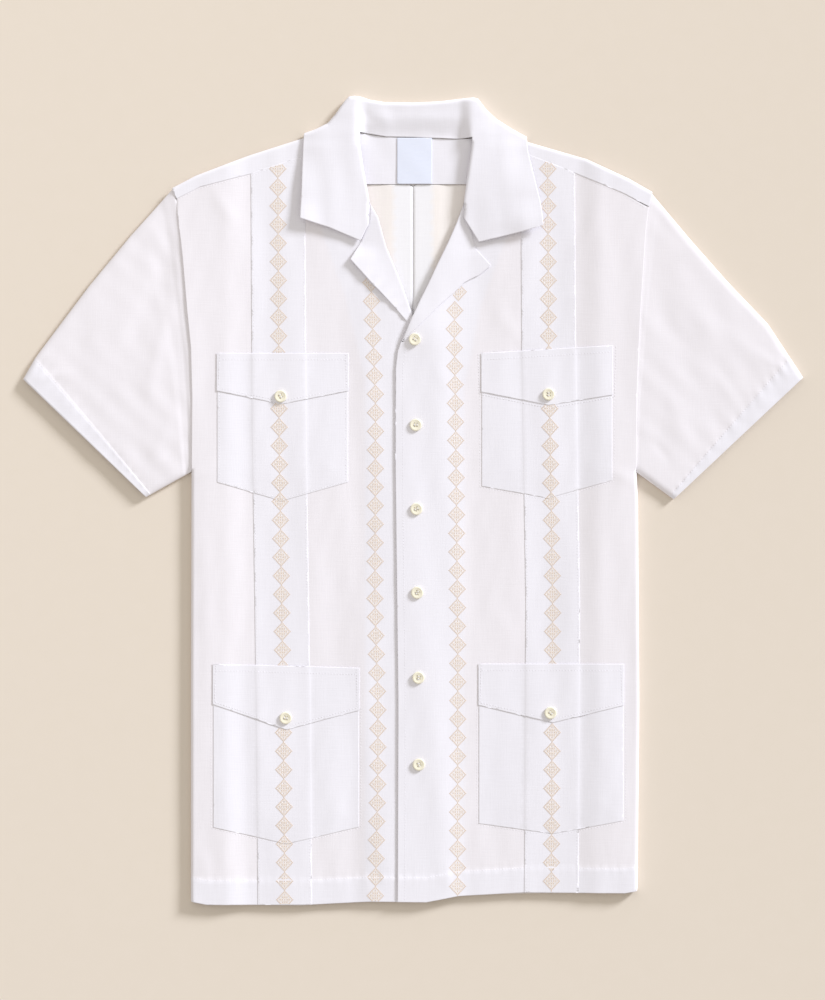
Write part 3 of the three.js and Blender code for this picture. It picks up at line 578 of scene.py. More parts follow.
def paper(name):
    nodes = Nodes(name)
    grain = nodes.noise(60.0, (1, 1, 1), 4.0)
    return nodes.finish(nodes.mix(grain, colour(231, 219, 203), colour(233, 221, 206)), Roughness=0.9,
                        Specular_IOR_Level=0.1)


OUTER = linen("linen_outer", colour(242, 237, 240), colour(242, 239, 244))
INNER = linen("linen_inner", colour(249, 242, 237), colour(247, 245, 247))
COTTON = thread("sewing_thread", colour(246, 243, 247), colour(238, 235, 239))
BEIGE = thread("beige_thread", colour(246, 237, 229), colour(243, 232, 222))
TAN = thread("tan_thread", colour(232, 214, 198), colour(225, 205, 188))
PEARL = pearl("shell")
LABEL = woven_label("label_satin")


# ---- the fronts' heights -------------------------------------------------------------------------
def hem_distance(x, y):
    return y - line_at(HEM, x, 0)


def front_height(side):
    """Middle of a front: what it lies on, soft folds, and the hem's doubled edge."""
    def height(x, y):
        from_overlap = (x - OVERLAP_X) ** 2 + (y - OVERLAP_Y) ** 2
        swell = OVERLAP_SWELL[side] * np.exp(-from_overlap / OVERLAP_SPREAD ** 2)
        above_hem = hem_distance(x, y) - HEM_DEPTH
        hem = HEM_STEP * ease(-above_hem / 1.6 + 0.5) + pucker(above_hem, x)
        z = lookup(FRONT_HEIGHT[side], x) + FRONT_SOFTNESS * relief(FRONT_CREASES, x, y) + hem + swell
        z = z + ripples(x, y, seed=11, size=46, height=0.6, stretch=3.2)
        return z + ripples(x, y, seed=12, size=19, height=0.14, stretch=1.8)
    return height


def over_front(side, layers):
    """Middle of a ply that many plies above a front, or below it if negative."""
    base = front_height(side)
    return lambda x, y: base(x, y) + STEP_UP * layers


def pocket_outline(pocket):
    return [(pocket.left, pocket.top_left), (pocket.left, pocket.low_left), pocket.tip,
            (pocket.right, pocket.low_right), (pocket.right, pocket.top_right)]


def flap_outline(pocket):
    left, right = pocket.left - FLAP_SPARE, pocket.right + FLAP_SPARE
    low_left, low, low_right = pocket.flap
    return [(left, pocket.top_left + FLAP_ABOVE), (left, low_left), (pocket.tip[0], low),
            (right, low_right), (right, pocket.top_right + FLAP_ABOVE)]


def band_level(side, x, y):
    """1 over the band, 0 beside it."""
    from_middle = np.abs(x - line_at(BANDS[side], y))
    return ease((BAND_HALF + 0.7 - from_middle) / 1.4)


def layer_height(side, layers):
    """Middle of a ply laid on the front, which rises over the band."""
    base = front_height(side)
    return lambda x, y: base(x, y) + STEP_UP * (layers + band_level(side, x, y))


def pocket_puff(pocket, x, y):
    """How far a pocket stands off its front inside the seam."""
    from_edge = distance_to(pocket_outline(pocket), x, y)
    swell = POCKET_PUFF * ease(from_edge / 26) + 0.06 * ease(from_edge / 4)
    return swell + pucker(from_edge - 2.5, x + y, height=0.05, pitch=7)


def visible_height(side, x, y):
    """Middle of the uppermost ply at each place."""
    z = front_height(side)(x, y) + STEP_UP * band_level(side, x, y)
    for pocket in POCKETS:
        if pocket.front == side:
            z = z + (STEP_UP + pocket_puff(pocket, x, y)) * inside(pocket_outline(pocket), x, y)
            z = z + (STEP_UP + FLAP_PUFF) * inside(flap_outline(pocket), x, y)
    return z


# ---- fronts, facings, bands ----------------------------------------------------------------------
LAPEL_TOWARD = {"left": 155.5, "right": 21.0}
CLEAR_OF_CLOTH = 18.0  # past a roll line's ends the fold starts this much further out, so nothing turns
NEAR_END, FAR_END = 10, 420


def lapel_fold(side, inset, reach, before, after, rise):
    out = heading(LAPEL_TOWARD[side])
    roll = np.array(LAPEL_ROLL[side], float)

    def past(end, neighbour, run):
        away = (end - neighbour) / np.linalg.norm(end - neighbour)
        return end + away * run + out * CLEAR_OF_CLOTH
    low, high = (roll[0], roll[1]), (roll[-1], roll[-2])
    line = [past(*low, FAR_END), past(*low, NEAR_END), *(roll - out * inset),
            past(*high, NEAR_END), past(*high, FAR_END)]
    return Fold(line, LAPEL_TOWARD[side], reach, before, after, rise)


def lapel_height(side, layers):
    """A lapel lies back on its front and stands off it towards its edge."""
    base = over_front(side, layers)
    out = heading(LAPEL_TOWARD[side])
    middle = np.array(LAPEL_ROLL[side]).mean(0)

    def height(x, y):
        away = -((x - middle[0]) * out[0] + (y - middle[1]) * out[1])
        lift = LAPEL_LIFT[side] * ease(away / 44) * ease((254 - y) / 16)
        edge = distance_to(LAPEL_EDGE[side], x, y, 2.0)
        gathers = 0.35 * np.sin((x - y) / 3.1) * np.exp(-(edge / 7) ** 2) * ease((232 - y) / 20)
        return base(x, y) + lift + gathers
    return height


def side_fold(side):
    """The turn at a side; above the underarm its line swings clear of the cloth."""
    out = OUT[side]
    line = BODY_EDGE[side][:UNDERARM_ROW + 1]
    clear = line[-1][0] + 16 * out
    line += [(clear, 36), (clear, 420)]
    return Fold(line, 0 if out > 0 else 180, SIDE_REACH, front_height(side), level(UNDERSIDE), 6.9)


def front_seam(side):
    """Top edge of a front: the shoulder ridge moved down the front by the yoke's depth there."""
    line = np.array(RIDGE[side], float)
    ahead = directions(line)
    down = np.stack([-ahead[:, 1], ahead[:, 0]], 1)
    down *= -np.sign(down[:, 1:])
    return [tuple(p) for p in line + down * (np.array(YOKE_DEPTH[side])[:, None] + SEAM_GAP)]


def clipped_hem(start, end):
    """The hem between two places across, in the order asked for."""
    low, high = sorted((start, end))
    inner = [(x, y) for x, y in HEM if low < x < high]
    line = [(low, float(line_at(HEM, low, 0)))] + inner + [(high, float(line_at(HEM, high, 0)))]
    return line if start < end else line[::-1]


def plies_of_front(side):
    def plies(x, y):
        facing = OUT[side] * (line_at(FACING_EDGE[side], y) - x)
        hem = HEM_DEPTH - hem_distance(x, y)
        return np.clip(ease(facing / 5 + 0.5) + ease(hem / 3 + 0.5), 0, 1)
    return plies


def front(side):
    """From the hem round the turned side, armhole, seam and neck to the lapel, and down the front edge."""
    out = OUT[side]
    under = side_fold(side)
    lapel = lapel_fold(side, 1.2, LAPEL_REACH - 1.2, front_height(side), lapel_height(side, 1), 1.0)
    edge = BODY_EDGE[side]
    beyond = out * (under.arc - 2 * SIDE_REACH + TURN_UNDER)
    hem = clipped_hem(FRONT_EDGE[side][0][0], edge[0][0])
    turned = [(edge[0][0] + beyond, hem[-1][1]), (edge[UNDERARM_ROW][0] + beyond, TURN_TOP_Y)]
    armhole = [(edge[UNDERARM_ROW][0], UNDERARM_Y), *edge[UNDERARM_ROW + 1:-1]]
    outline = hem + turned + [(x - out * 0.2, y) for x, y in armhole]
    outline += front_seam(side) + FRONT_NECK[side][::-1] + [LAPEL_ROLL[side][-1]]
    outline += lapel.flat(LAPEL_EDGE[side][::-1]) + FRONT_EDGE[side][:0:-1]

    def place(x, y):
        return pick(out * x > 120, under.place(x, y), lapel.place(x, y))
    hem_rows = [[(x, y + HEM_DEPTH + d) for x, y in resample(hem, 2.5)] for d in (-0.9, 0, 0.9)]
    cloth_piece(f"front_{side}", outline, place, OUTER,
                rows=[under.rows(), lapel.rows(2.5), *hem_rows], plies=plies_of_front(side))


def facing(side):
    """Behind the front edge; it rolls over with the lapel and shows on it."""
    lapel = lapel_fold(side, 0, LAPEL_REACH, over_front(side, -1), lapel_height(side, 2), 1.9)
    hem = clipped_hem(FRONT_EDGE[side][0][0], FACING_EDGE[side][0][0])
    outline = hem + FACING_EDGE[side][1:] + FRONT_NECK[side][::-1] + [LAPEL_ROLL[side][-1]]
    outline += lapel.flat(LAPEL_EDGE[side][::-1]) + FRONT_EDGE[side][:0:-1]
    cloth_piece(f"facing_{side}", outline, lapel.place, OUTER,
                rows=[lapel.rows(2.0)])


def band(side):
    """A strip from the hem to the yoke's seam."""
    column = BANDS[side]
    outline = []
    for way in (1, -1):
        line = [(float(line_at(column, y)) + way * BAND_HALF, y)
                for y in (-390, -300, -100, 60, 150, 250, 330)]
        foot, head = line[0][0], line[-1][0]
        line[0] = (foot, float(line_at(HEM, foot, 0)))
        line[-1] = (head, float(line_at(front_seam(side), head, 0)))
        outline += line[::way]
    base = over_front(side, 1)
    edges = [[(x + way * (BAND_HALF - d), y) for x, y in resample(column, 3)]
             for way in (1, -1) for d in (2, 4)]

    def place(x, y):
        from_edge = BAND_HALF - np.abs(x - line_at(column, y))
        gathers = pucker(from_edge - 1.8, y, height=0.03, pitch=6.5)
        return x, y, base(x, y) + 0.03 * ease(from_edge / 3) + gathers
    cloth_piece(f"band_{side}", outline, place, OUTER, slot="embroidered_band", rows=edges)


# ---- back and yoke -------------------------------------------------------------------------------
def back():
    """One ply with a box pleat; its folds meet inside at the centre."""
    mid, crest, high = 0.95, 1.5, 3.0
    bend = 0.6
    half = [(PLEAT_HALF - bend, UNDERSIDE), (PLEAT_HALF, (UNDERSIDE + mid) / 2), (PLEAT_HALF - bend, mid),
            (0.9, mid), (0.14, (mid + crest) / 2), (0.4, crest - 0.05), (3.0, crest), (PLEAT_HALF + 3, crest),
            (PLEAT_HALF + 14, UNDERSIDE + 0.4), (60, UNDERSIDE), (146, UNDERSIDE), (164, high), (206, high)]
    path = np.array([(-x, z) for x, z in half[::-1]] + half, float)
    lengths = np.concatenate([[0], np.cumsum(np.linalg.norm(np.diff(path, axis=0), axis=1))])
    lengths -= lengths[-1] / 2
    seam = YOKE_SEAM_Y - 0.5
    wide = lengths[-1]
    outline = [(-wide, -390), (wide, -384), (wide, seam - YOKE_ARM_DROP), (YOKE_LEVEL + 36, seam),
               (-YOKE_LEVEL - 36, seam), (-wide, seam - YOKE_ARM_DROP)]

    def place(s, y):
        x = np.interp(s, lengths, path[:, 0])
        z = np.interp(s, lengths, path[:, 1])
        soft = ripples(x, y, seed=21, size=40, height=0.5, stretch=3.0) + 0.25
        return x, y, z + soft * (np.abs(x) < 140)

    def plies(x, y):
        return ease((PLEAT_HALF + 1 - np.abs(x)) / 2)
    rows = [[(s, y) for y in np.arange(-380, 309, 4.0)] for s in lengths]
    cloth_piece("back_panel", outline, place, INNER, spacing=COARSE, rows=rows,
                plies=plies)


def yoke():
    """Across the back and over the shoulder ridges to its seams on the fronts."""
    def back_height(x, y):
        by_collar = np.exp(-((np.abs(x) - 57) / 9) ** 2 - ((y - 357) / 12) ** 2)
        return lookup(YOKE_HEIGHT, x) + ripples(x, y, seed=22, size=40, height=0.25) + 2.4 * by_collar

    ends = {"left": [(233.2, 297), (231.4, 288)], "right": [(-233.6, 300), (-231.4, 296)]}
    folds = {}
    strips = {}
    for side, out in OUT.items():
        ridge = RIDGE[side]
        past_arm = (ridge[0][0] + out * 40, ridge[0][1] - 21)
        past_neck = (ridge[-1][0] - out * 6, ridge[-1][1] + 26)
        carried = [past_arm, *ridge, past_neck]
        folds[side] = Fold(carried, 70 if out > 0 else 110, 3.2, back_height, over_front(side, 1), 4.5)
        line = [(x, y - YOKE_COVER) for x, y in front_seam(side)]
        strips[side] = folds[side].flat(ends[side] + line[1:])
    arm_y = YOKE_SEAM_Y - YOKE_ARM_DROP
    outline = [(-YOKE_LEVEL, YOKE_SEAM_Y), (YOKE_LEVEL, YOKE_SEAM_Y), (229, arm_y), (233.8, 302)]
    outline += strips["left"] + [(61.5, 361)] + YOKE_NECK[::-1] + [(-60, 363)] + strips["right"][::-1]
    outline += [(-236, 305.5), (-227, arm_y)]

    def place(x, y):
        return pick(x > 0, folds["left"].place(x, y), folds["right"].place(x, y))
    cloth_piece("back_yoke", outline, place, OUTER,
                rows=[fold.rows(2.5) for fold in folds.values()])


# ---- collar --------------------------------------------------------------------------------------
def collar_height(x, y):
    """Eased both ways between the table's rows and columns, with the collar's creases."""
    rows = np.array([row for row, _ in COLLAR_HEIGHT], float)
    table = np.array([values for _, values in COLLAR_HEIGHT], float)
    k = np.clip(np.searchsorted(rows, y) - 1, 0, len(rows) - 2)
    share = ease((y - rows[k]) / (rows[k + 1] - rows[k]))
    columns = table[k] + (table[k + 1] - table[k]) * share[:, None]
    at = np.clip(np.abs(x), COLLAR_ACROSS[0], COLLAR_ACROSS[-1])
    c = np.clip(np.searchsorted(COLLAR_ACROSS, at) - 1, 0, len(COLLAR_ACROSS) - 2)
    edges = np.array(COLLAR_ACROSS, float)
    share = ease((at - edges[c]) / (edges[c + 1] - edges[c]))
    picked = np.arange(len(x))
    z = columns[picked, c] + (columns[picked, c + 1] - columns[picked, c]) * share
    return z + relief(COLLAR_CREASES, x, y) + ripples(x, y, seed=31, size=34, height=0.35)


def collar():
    """Leaves over the fronts, the inside of the stand at the back, and the fall turned under it."""
    tucked = 9  # how far the cloth goes on past a roll
    top = Fold(COLLAR_TOP, 90, 3.4, collar_height, level(0.55), 5.5)
    rolls = {}
    hidden = {}
    for side, out in OUT.items():
        rolls[side] = Fold(COLLAR_ROLL[side], 180 if out > 0 else 0, 2.6, collar_height, level(6.5), 2.2)
        hidden[side] = rolls[side].flat([(x + out * tucked, y) for x, y in COLLAR_ROLL[side][:-1]])
    fall = top.flat([(x, y - tucked) for x, y in COLLAR_TOP])
    outline = COLLAR_LEAF["left"] + hidden["left"] + [(57.9, 351)] + COLLAR_SEAM[::-1] + [(-52.2, 353)]
    outline += hidden["right"][::-1] + COLLAR_LEAF["right"][::-1] + [(-107.6, 345), (-106.7, 359)]
    outline += fall + [(111.3, 355), (112.2, 343)]

    def place(x, y):
        placed = top.place(x, y)
        for side, out in OUT.items():
            near = (y < 352.5) & (out * x > 0)
            placed = pick(near, rolls[side].place(x, y), placed)
        return placed
    rows = [top.rows(2.2)] + [roll.rows(2.0) for roll in rolls.values()]
    cloth_piece("collar", outline, place, OUTER,
                thick=COLLAR_CLOTH, spacing=2.8, rows=rows)


# ---- sleeves -------------------------------------------------------------------------------------
def path_at(line, share):
    """Points at shares of the way along a line."""
    line = np.array(line, float)
    lengths = np.concatenate([[0], np.cumsum(np.linalg.norm(np.diff(line, axis=0), axis=1))])
    at = np.asarray(share) * lengths[-1]
    return np.stack([np.interp(at, lengths, line[:, 0]), np.interp(at, lengths, line[:, 1])], -1)


def sleeve_place(side, share, along):
    """Plan place of a point that is this share of the way from the outer edge and along the sleeve."""
    edge, inner = SLEEVE[side]
    edge = [(x - OUT[side] * SLEEVE_TUCK, y) for x, y in edge]
    armhole = BODY_EDGE[side][-2:UNDERARM_ROW - 1:-1]
    seat = [edge[0], *((x - OUT[side] * SLEEVE_TUCK, y) for x, y in armhole)]
    corner = np.array(SLEEVE[side][0][-1])
    cuff = corner + (np.array(inner) - corner) * share[..., None]
    start = path_at(seat, share)
    straight = start + (cuff - start) * along[..., None]
    chord = np.array(seat[0]) + (corner - np.array(seat[0])) * along[..., None]
    bow = path_at(edge, along) - chord
    return straight + bow * (1 - share[..., None])


def sleeve_length(side):
    edge, _ = SLEEVE[side]
    return float(np.linalg.norm(np.array(edge[-1]) - np.array(edge[0])))


def sleeve_top(side, share, along, x, y):
    from_cuff = (1 - along) * sleeve_length(side) - CUFF_DEPTH
    gathers = pucker(from_cuff, share * SLEEVE_WIDTH, height=CUFF_GATHER[side], pitch=11)
    cuff = 0.4 * ease(-from_cuff / 1.6 + 0.5) + gathers
    folds = SLEEVE_SOFTNESS * relief(SLEEVE_CREASES, x, y) + ripples(x, y, seed=41, size=30, height=0.3)
    return lookup(SLEEVE_TOP[side], along) + folds * ease(along * 14) + cuff


def sleeve(side):
    """One flattened tube, from the armhole to the stitched cuff."""
    across, down = 80, 110
    half = [0.5 - 0.5 * math.cos(math.pi * k / across) for k in range(across + 1)]
    shares = half + half[-2:0:-1]
    count = len(shares)
    way = np.where(np.arange(count) <= across, 1, -1)
    share, along = np.meshgrid(shares, np.linspace(0, 1, down))
    x, y = np.moveaxis(sleeve_place(side, share, along), -1, 0)
    top = sleeve_top(side, share, along, x, y)
    bottom = lookup(SLEEVE_BOTTOM, along)
    rim = 0.035
    from_rim = np.clip(np.minimum(share, 1 - share) / rim, 0, 1)
    opened = np.sqrt(np.clip(1 - (1 - from_rim) ** 2, 0, 1))
    z = (top + bottom) / 2 + way * (top - bottom) / 2 * opened
    grid = np.stack([x, y, z], -1)
    triangles = []
    for j in range(down - 1):
        for i in range(count):
            a, b = j * count + i, j * count + (i + 1) % count
            triangles += [(a, b, b + count), (a, b + count, a + count)]
    triangles = np.array(triangles)
    if side == "left":
        triangles = triangles[:, ::-1]
    cuff = ease((CUFF_DEPTH + 1.5 - (1 - along) * sleeve_length(side)) / 3).reshape(-1)
    piece = shell(f"sleeve_{side}_cloth", grid.reshape(-1, 3), triangles, CLOTH, OUTER, cuff)
    finish_piece(piece, "shirt_cloth", f"sleeve_{side}")


# ---- pockets, flaps, label -----------------------------------------------------------------------
def level_rows(side, low, high):
    """Mesh points on both sides of each edge of the band, where plies on it step down."""
    line = [(x, y) for x, y in resample(BANDS[side], 2.5) if low < y < high]
    return [[(x + way * BAND_HALF + d, y) for x, y in line] for way in (1, -1) for d in (-0.8, 0, 0.8)]


def pocket(row):
    base = layer_height(row.front, 1)

    def place(x, y):
        return x, y, base(x, y) + pocket_puff(row, x, y)
    cloth_piece(f"pocket_{row.name}", pocket_outline(row), place, OUTER,
                rows=level_rows(row.front, row.tip[1], row.top_right))


def flap(row):
    outline = flap_outline(row)
    base = layer_height(row.front, 2)

    def place(x, y):
        free = distance_to(outline[1:4], x, y)
        below_seam = ease((row.top_left - y) / 12)
        lift = 0.15 * np.exp(-(free / 10) ** 2) * (0.5 + 0.5 * np.sin(x / 17 + row.tip[1])) * below_seam
        return x, y, base(x, y) + pocket_puff(row, x, y) + FLAP_PUFF + lift
    cloth_piece(f"flap_{row.name}", outline, place, OUTER,
                rows=level_rows(row.front, row.flap[1], row.top_right))


def label():
    low, high = (np.array(corner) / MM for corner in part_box("neck_label"))
    outline = [(low[0], low[1]), (high[0], low[1]), (high[0], high[1]), (low[0], high[1])]

    def place(x, y):
        bow = 0.25 * np.sin((x - low[0]) / (high[0] - low[0]) * math.pi)
        soft = ripples(x, y, seed=51, size=24, height=0.12)
        return x, y, lookup(YOKE_HEIGHT, x) + 0.6 + bow + soft
    cloth_piece("neck_label", outline, place, LABEL, thick=0.4, spacing=2.0,
                slot="woven_label")


# ---- buttons -------------------------------------------------------------------------------------
BUTTON_RADIUS = 6.0
BUTTON_TOP = [  # height by distance from the middle
    (0, 1.62), (2.6, 1.6), (3.6, 1.72), (4.4, 1.92), (5.0, 1.96), (5.6, 1.8), (5.95, 1.4), (6.0, 1.0),
]
BUTTON_UNDER = [(5.9, 0.45), (5.2, 0.05), (2.5, 0.0)]
BUTTON_CLEAR = 0.1  # between a button and the cloth; twice that over a flap, which bulges
HOLE_RADIUS = 0.75
HOLE_DEPTH = 1.2
HOLE_OUT = 1.25  # each hole's middle from the button's middle, along X and along Y


def button_shape():
    """Points and faces of a four-hole button standing at its foot's middle."""
    rings, spokes = 34, 72
    around = np.linspace(0, 2 * math.pi, spokes, endpoint=False)
    holes = [(sx * HOLE_OUT, sy * HOLE_OUT) for sx in (1, -1) for sy in (1, -1)]
    vertices = [(0, 0, 1.55)]
    for radius in BUTTON_RADIUS * np.linspace(0, 1, rings)[1:] ** 0.9:
        for a in around:
            x, y = radius * math.cos(a), radius * math.sin(a)
            reach = min(math.hypot(x - hx, y - hy) for hx, hy in holes)
            hole = HOLE_DEPTH * float(ease((HOLE_RADIUS + 0.25 - reach) / 0.35))
            vertices.append((x, y, float(np.interp(radius, *zip(*BUTTON_TOP))) - hole))
    for radius, z in BUTTON_UNDER:
        vertices += [(radius * math.cos(a), radius * math.sin(a), z) for a in around]
    vertices.append((0, 0, 0))
    faces = [(0, 1 + k, 1 + (k + 1) % spokes) for k in range(spokes)]
    ring_count = rings - 1 + len(BUTTON_UNDER)
    for j in range(ring_count - 1):
        for k in range(spokes):
            a, b = 1 + j * spokes + k, 1 + j * spokes + (k + 1) % spokes
            faces.append((a, a + spokes, b + spokes, b))
    last = len(vertices) - 1
    ring = last - spokes
    faces += [(ring + k, last, ring + (k + 1) % spokes) for k in range(spokes)]
    return vertices, faces


def button(node, turn):
    """A shell button over its CAD node, lying on the cloth there and sewn through with thread."""
    low, high = (np.array(corner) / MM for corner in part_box(node))
    cx, cy = (low[:2] + high[:2]) / 2
    side = "right" if node.endswith("_right") else "left"
    around = np.linspace(0, 2 * math.pi, 24, endpoint=False)
    cloth = visible_height(side, cx + 5 * np.cos(around), cy + 5 * np.sin(around)).max() + CLOTH / 2
    foot = cloth + BUTTON_CLEAR + (0.0 if "front" in node else BUTTON_CLEAR)
    c, s = math.cos(turn), math.sin(turn)

    def swing(p):
        return cx + p[0] * c - p[1] * s, cy + p[0] * s + p[1] * c, foot + p[2]
    vertices, faces = button_shape()
    piece = mesh_object(f"{node}_shell", [swing(p) for p in vertices], faces, PEARL)
    finish_piece(piece, "shell_button", node)
    strands = []
    for way in (1, -1):
        for shift in (-0.22, 0.22):
            y = way * HOLE_OUT + shift
            strands.append([swing((HOLE_OUT * (2 * t - 1), y, 1.5 + 0.5 * math.sin(math.pi * t)))
                            for t in np.linspace(0, 1, 7)])
    finish_piece(strand_mesh(f"{node}_thread", strands, 0.2), "shirt_cloth")


def strand_mesh(name, strands, radius=0.12):
    """Short lengths of thread as one mesh: six-sided, with closed ends."""
    vertices, faces = [], []
    for strand in strands:
        line = np.array(strand, float)
        ahead = directions(line)
        across = np.cross(ahead, (0.05, 0.03, 1.0))
        across /= np.linalg.norm(across, axis=1)[:, None]
        up = np.cross(across, ahead)
        first = len(vertices)
        for k in range(len(line)):
            for a in np.arange(6) * math.pi / 3:
                vertices.append(line[k] + radius * (math.cos(a) * across[k] + math.sin(a) * up[k]))
        for k in range(len(line) - 1):
            for i in range(6):
                a, b = first + k * 6 + i, first + k * 6 + (i + 1) % 6
                faces.append((a, a + 6, b + 6, b))
        faces.append(tuple(first + i for i in range(6)))
        faces.append(tuple(first + (len(line) - 1) * 6 + 5 - i for i in range(6)))
    return mesh_object(name, vertices, faces, COTTON)


# ---- stitching and embroidery --------------------------------------------------------------------
STITCH_PITCH = 2.9
STITCH_LENGTH = 2.0
HIDDEN_HEM = {"left": 0, "right": 33}  # how much of the hem's row the other front covers
BAND_SEWN_IN = 1.8
EDGE_SEWN_IN = 7
SEWN_IN = {  # how far inside its edge a pocket's row runs, then its flap's; a negative one runs outside
    "chest_right": (2.2, 3.0), "chest_left": (-2.2, -3.0),
    "waist_right": (-2.2, 3.0), "waist_left": (-2.2, 3.0),
}


def stitch_row(line, height, shift=0.0):
    """Even machine stitches along a line in plan, lying on height(x, y)."""
    points = resample(line, STITCH_PITCH)
    strands = []
    for a, b in zip(points[:-1], points[1:]):
        step = b - a
        size = np.linalg.norm(step)
        if size < 0.3 * STITCH_PITCH:
            continue
        middle, half = (a + b) / 2, step / size * STITCH_LENGTH / 2
        ends = np.array([middle - half, middle, middle + half])
        z = height(ends[:, 0], ends[:, 1]) + np.array([-0.1, 0.06, -0.1]) + shift
        strands.append(np.column_stack([ends, z]))
    return strands


def runs(points, keep):
    """The stretches of a line whose points are kept."""
    parts = [[]]
    for point, wanted in zip(points, keep):
        if wanted:
            parts[-1].append(tuple(point))
        else:
            parts.append([])
    return [part for part in parts if len(part) > 2]


def band_stitches(side, surface):
    """Both edges of a band, where no pocket or flap covers them."""
    strands = []
    for way in (1, -1):
        edge = [(x + way * (BAND_HALF - BAND_SEWN_IN), y) for x, y in BANDS[side]]
        foot = float(line_at(HEM, edge[0][0], 0)) + 1
        head = float(line_at(front_seam(side), edge[-1][0], 0)) - 1
        line = [(float(line_at(edge, y)), y) for y in (foot, -100, 60, 150, head)]
        points = resample(line, STITCH_PITCH)
        covered = np.zeros(len(points), bool)
        for row in POCKETS:
            covered |= inside(pocket_outline(row), *points.T) | inside(flap_outline(row), *points.T)
        for part in runs(points, ~covered):
            strands += stitch_row(part, surface)
    return strands


def pocket_stitches(row, surface):
    """A row round a pocket as far as its flap, one round the flap, and one across below the top edge."""
    pocket_in, flap_in = SEWN_IN[row.name]
    start, *bottom, end = offset(pocket_outline(row), pocket_in)
    under_flap = row.flap[0] - 3
    sewn = [(start[0], min(start[1], under_flap)), *bottom, (end[0], min(end[1], under_flap))]
    strands = stitch_row(sewn, surface)
    strands += stitch_row(offset(flap_outline(row), flap_in), surface, shift=0.1)
    across = [(row.left + 2, row.top_left - 6), (row.right - 2, row.top_right - 6)]
    return strands + stitch_row(across, surface, shift=0.05)


def stitching(side):
    """Every row of stitches that shows on one front, as one piece."""
    def surface(x, y):
        return visible_height(side, x, y) + CLOTH / 2
    out = OUT[side]
    hem = clipped_hem(FRONT_EDGE[side][0][0] - HIDDEN_HEM[side], BODY_EDGE[side][0][0] - out * 4)
    strands = stitch_row([(x, y + HEM_DEPTH) for x, y in hem], surface)
    strands += band_stitches(side, surface)
    for row in POCKETS:
        if row.front == side:
            strands += pocket_stitches(row, surface)
    if side == "left":
        edge = [(x + EDGE_SEWN_IN, y) for x, y in FRONT_EDGE["left"] if y > -380]
        strands += stitch_row([(-8.1, -391), *edge], surface)
    strands += stitch_row([(x, y - 2.2) for x, y in front_seam(side)][:-1], surface)
    finish_piece(strand_mesh(f"stitching_{side}", strands), "shirt_cloth")


def cuff_stitching(side):
    share = np.linspace(0.02, 0.98, 60)
    along = np.full_like(share, 1 - CUFF_DEPTH / sleeve_length(side))
    place = sleeve_place(side, share, along)
    line = np.column_stack([place, sleeve_top(side, share, along, *place.T) + CLOTH / 2])
    bow = [(0.08, -0.05), (0.45, 0.08), (0.82, -0.05)]  # places along a stitch, and how high it is there
    strands = [[a + (b - a) * at + (0, 0, up) for at, up in bow] for a, b in zip(line[:-1], line[1:])]
    finish_piece(strand_mesh(f"cuff_stitching_{side}", strands), "shirt_cloth")


def diamond_chart():
    """Stitches of one diamond as (column, row, dark): a dark border, and rings of which two have gaps."""
    chart = []
    for i in range(-DIAMOND_RINGS, DIAMOND_RINGS + 1):
        for j in range(-DIAMOND_RINGS, DIAMOND_RINGS + 1):
            ring = abs(i) + abs(j)
            if ring > DIAMOND_RINGS or (ring in (1, 5) and i % 2):
                continue
            chart.append((i, j, ring == DIAMOND_RINGS or (ring <= 4 and i % 2 == 0 and j % 2 == 0)))
    return chart


def column_centres(side, inner):
    """Heights of the diamonds' middles: one even column, or three stretches set out from the pockets."""
    if inner:
        first = 214.0 if side == "right" else 205.0
        return [first - DIAMOND_PITCH * k for k in range(34)]
    above = [143.6 + DIAMOND_PITCH * k for k in range(11)]
    chest = [90.6 - DIAMOND_PITCH * k for k in range(15)]
    waist = [-336 + DIAMOND_PITCH * k for k in range(-3, 7)]
    return above + chest + waist


def stitch_shows(side, inner, x, y):
    """True where the front's face is not under a flap, lapel or collar, and inside its hem and seam."""
    out = OUT[side]
    below_seam = y < line_at(front_seam(side), x, 0) - EMBROIDERY_CLEAR
    shown = (hem_distance(x, y) > EMBROIDERY_CLEAR) & below_seam
    under = [flap_outline(row) for row in POCKETS]
    under.append(LAPEL_EDGE[side] + LAPEL_ROLL[side][::-1])
    under.append([(0, 240), (0, 420), (out * 100, 420), (out * 100, 240)])
    for outline in under:
        shown &= ~inside(outline, x, y)
    if inner:
        shown &= distance_to(LAPEL_EDGE[side], x, y) > EMBROIDERY_CLEAR
    return shown


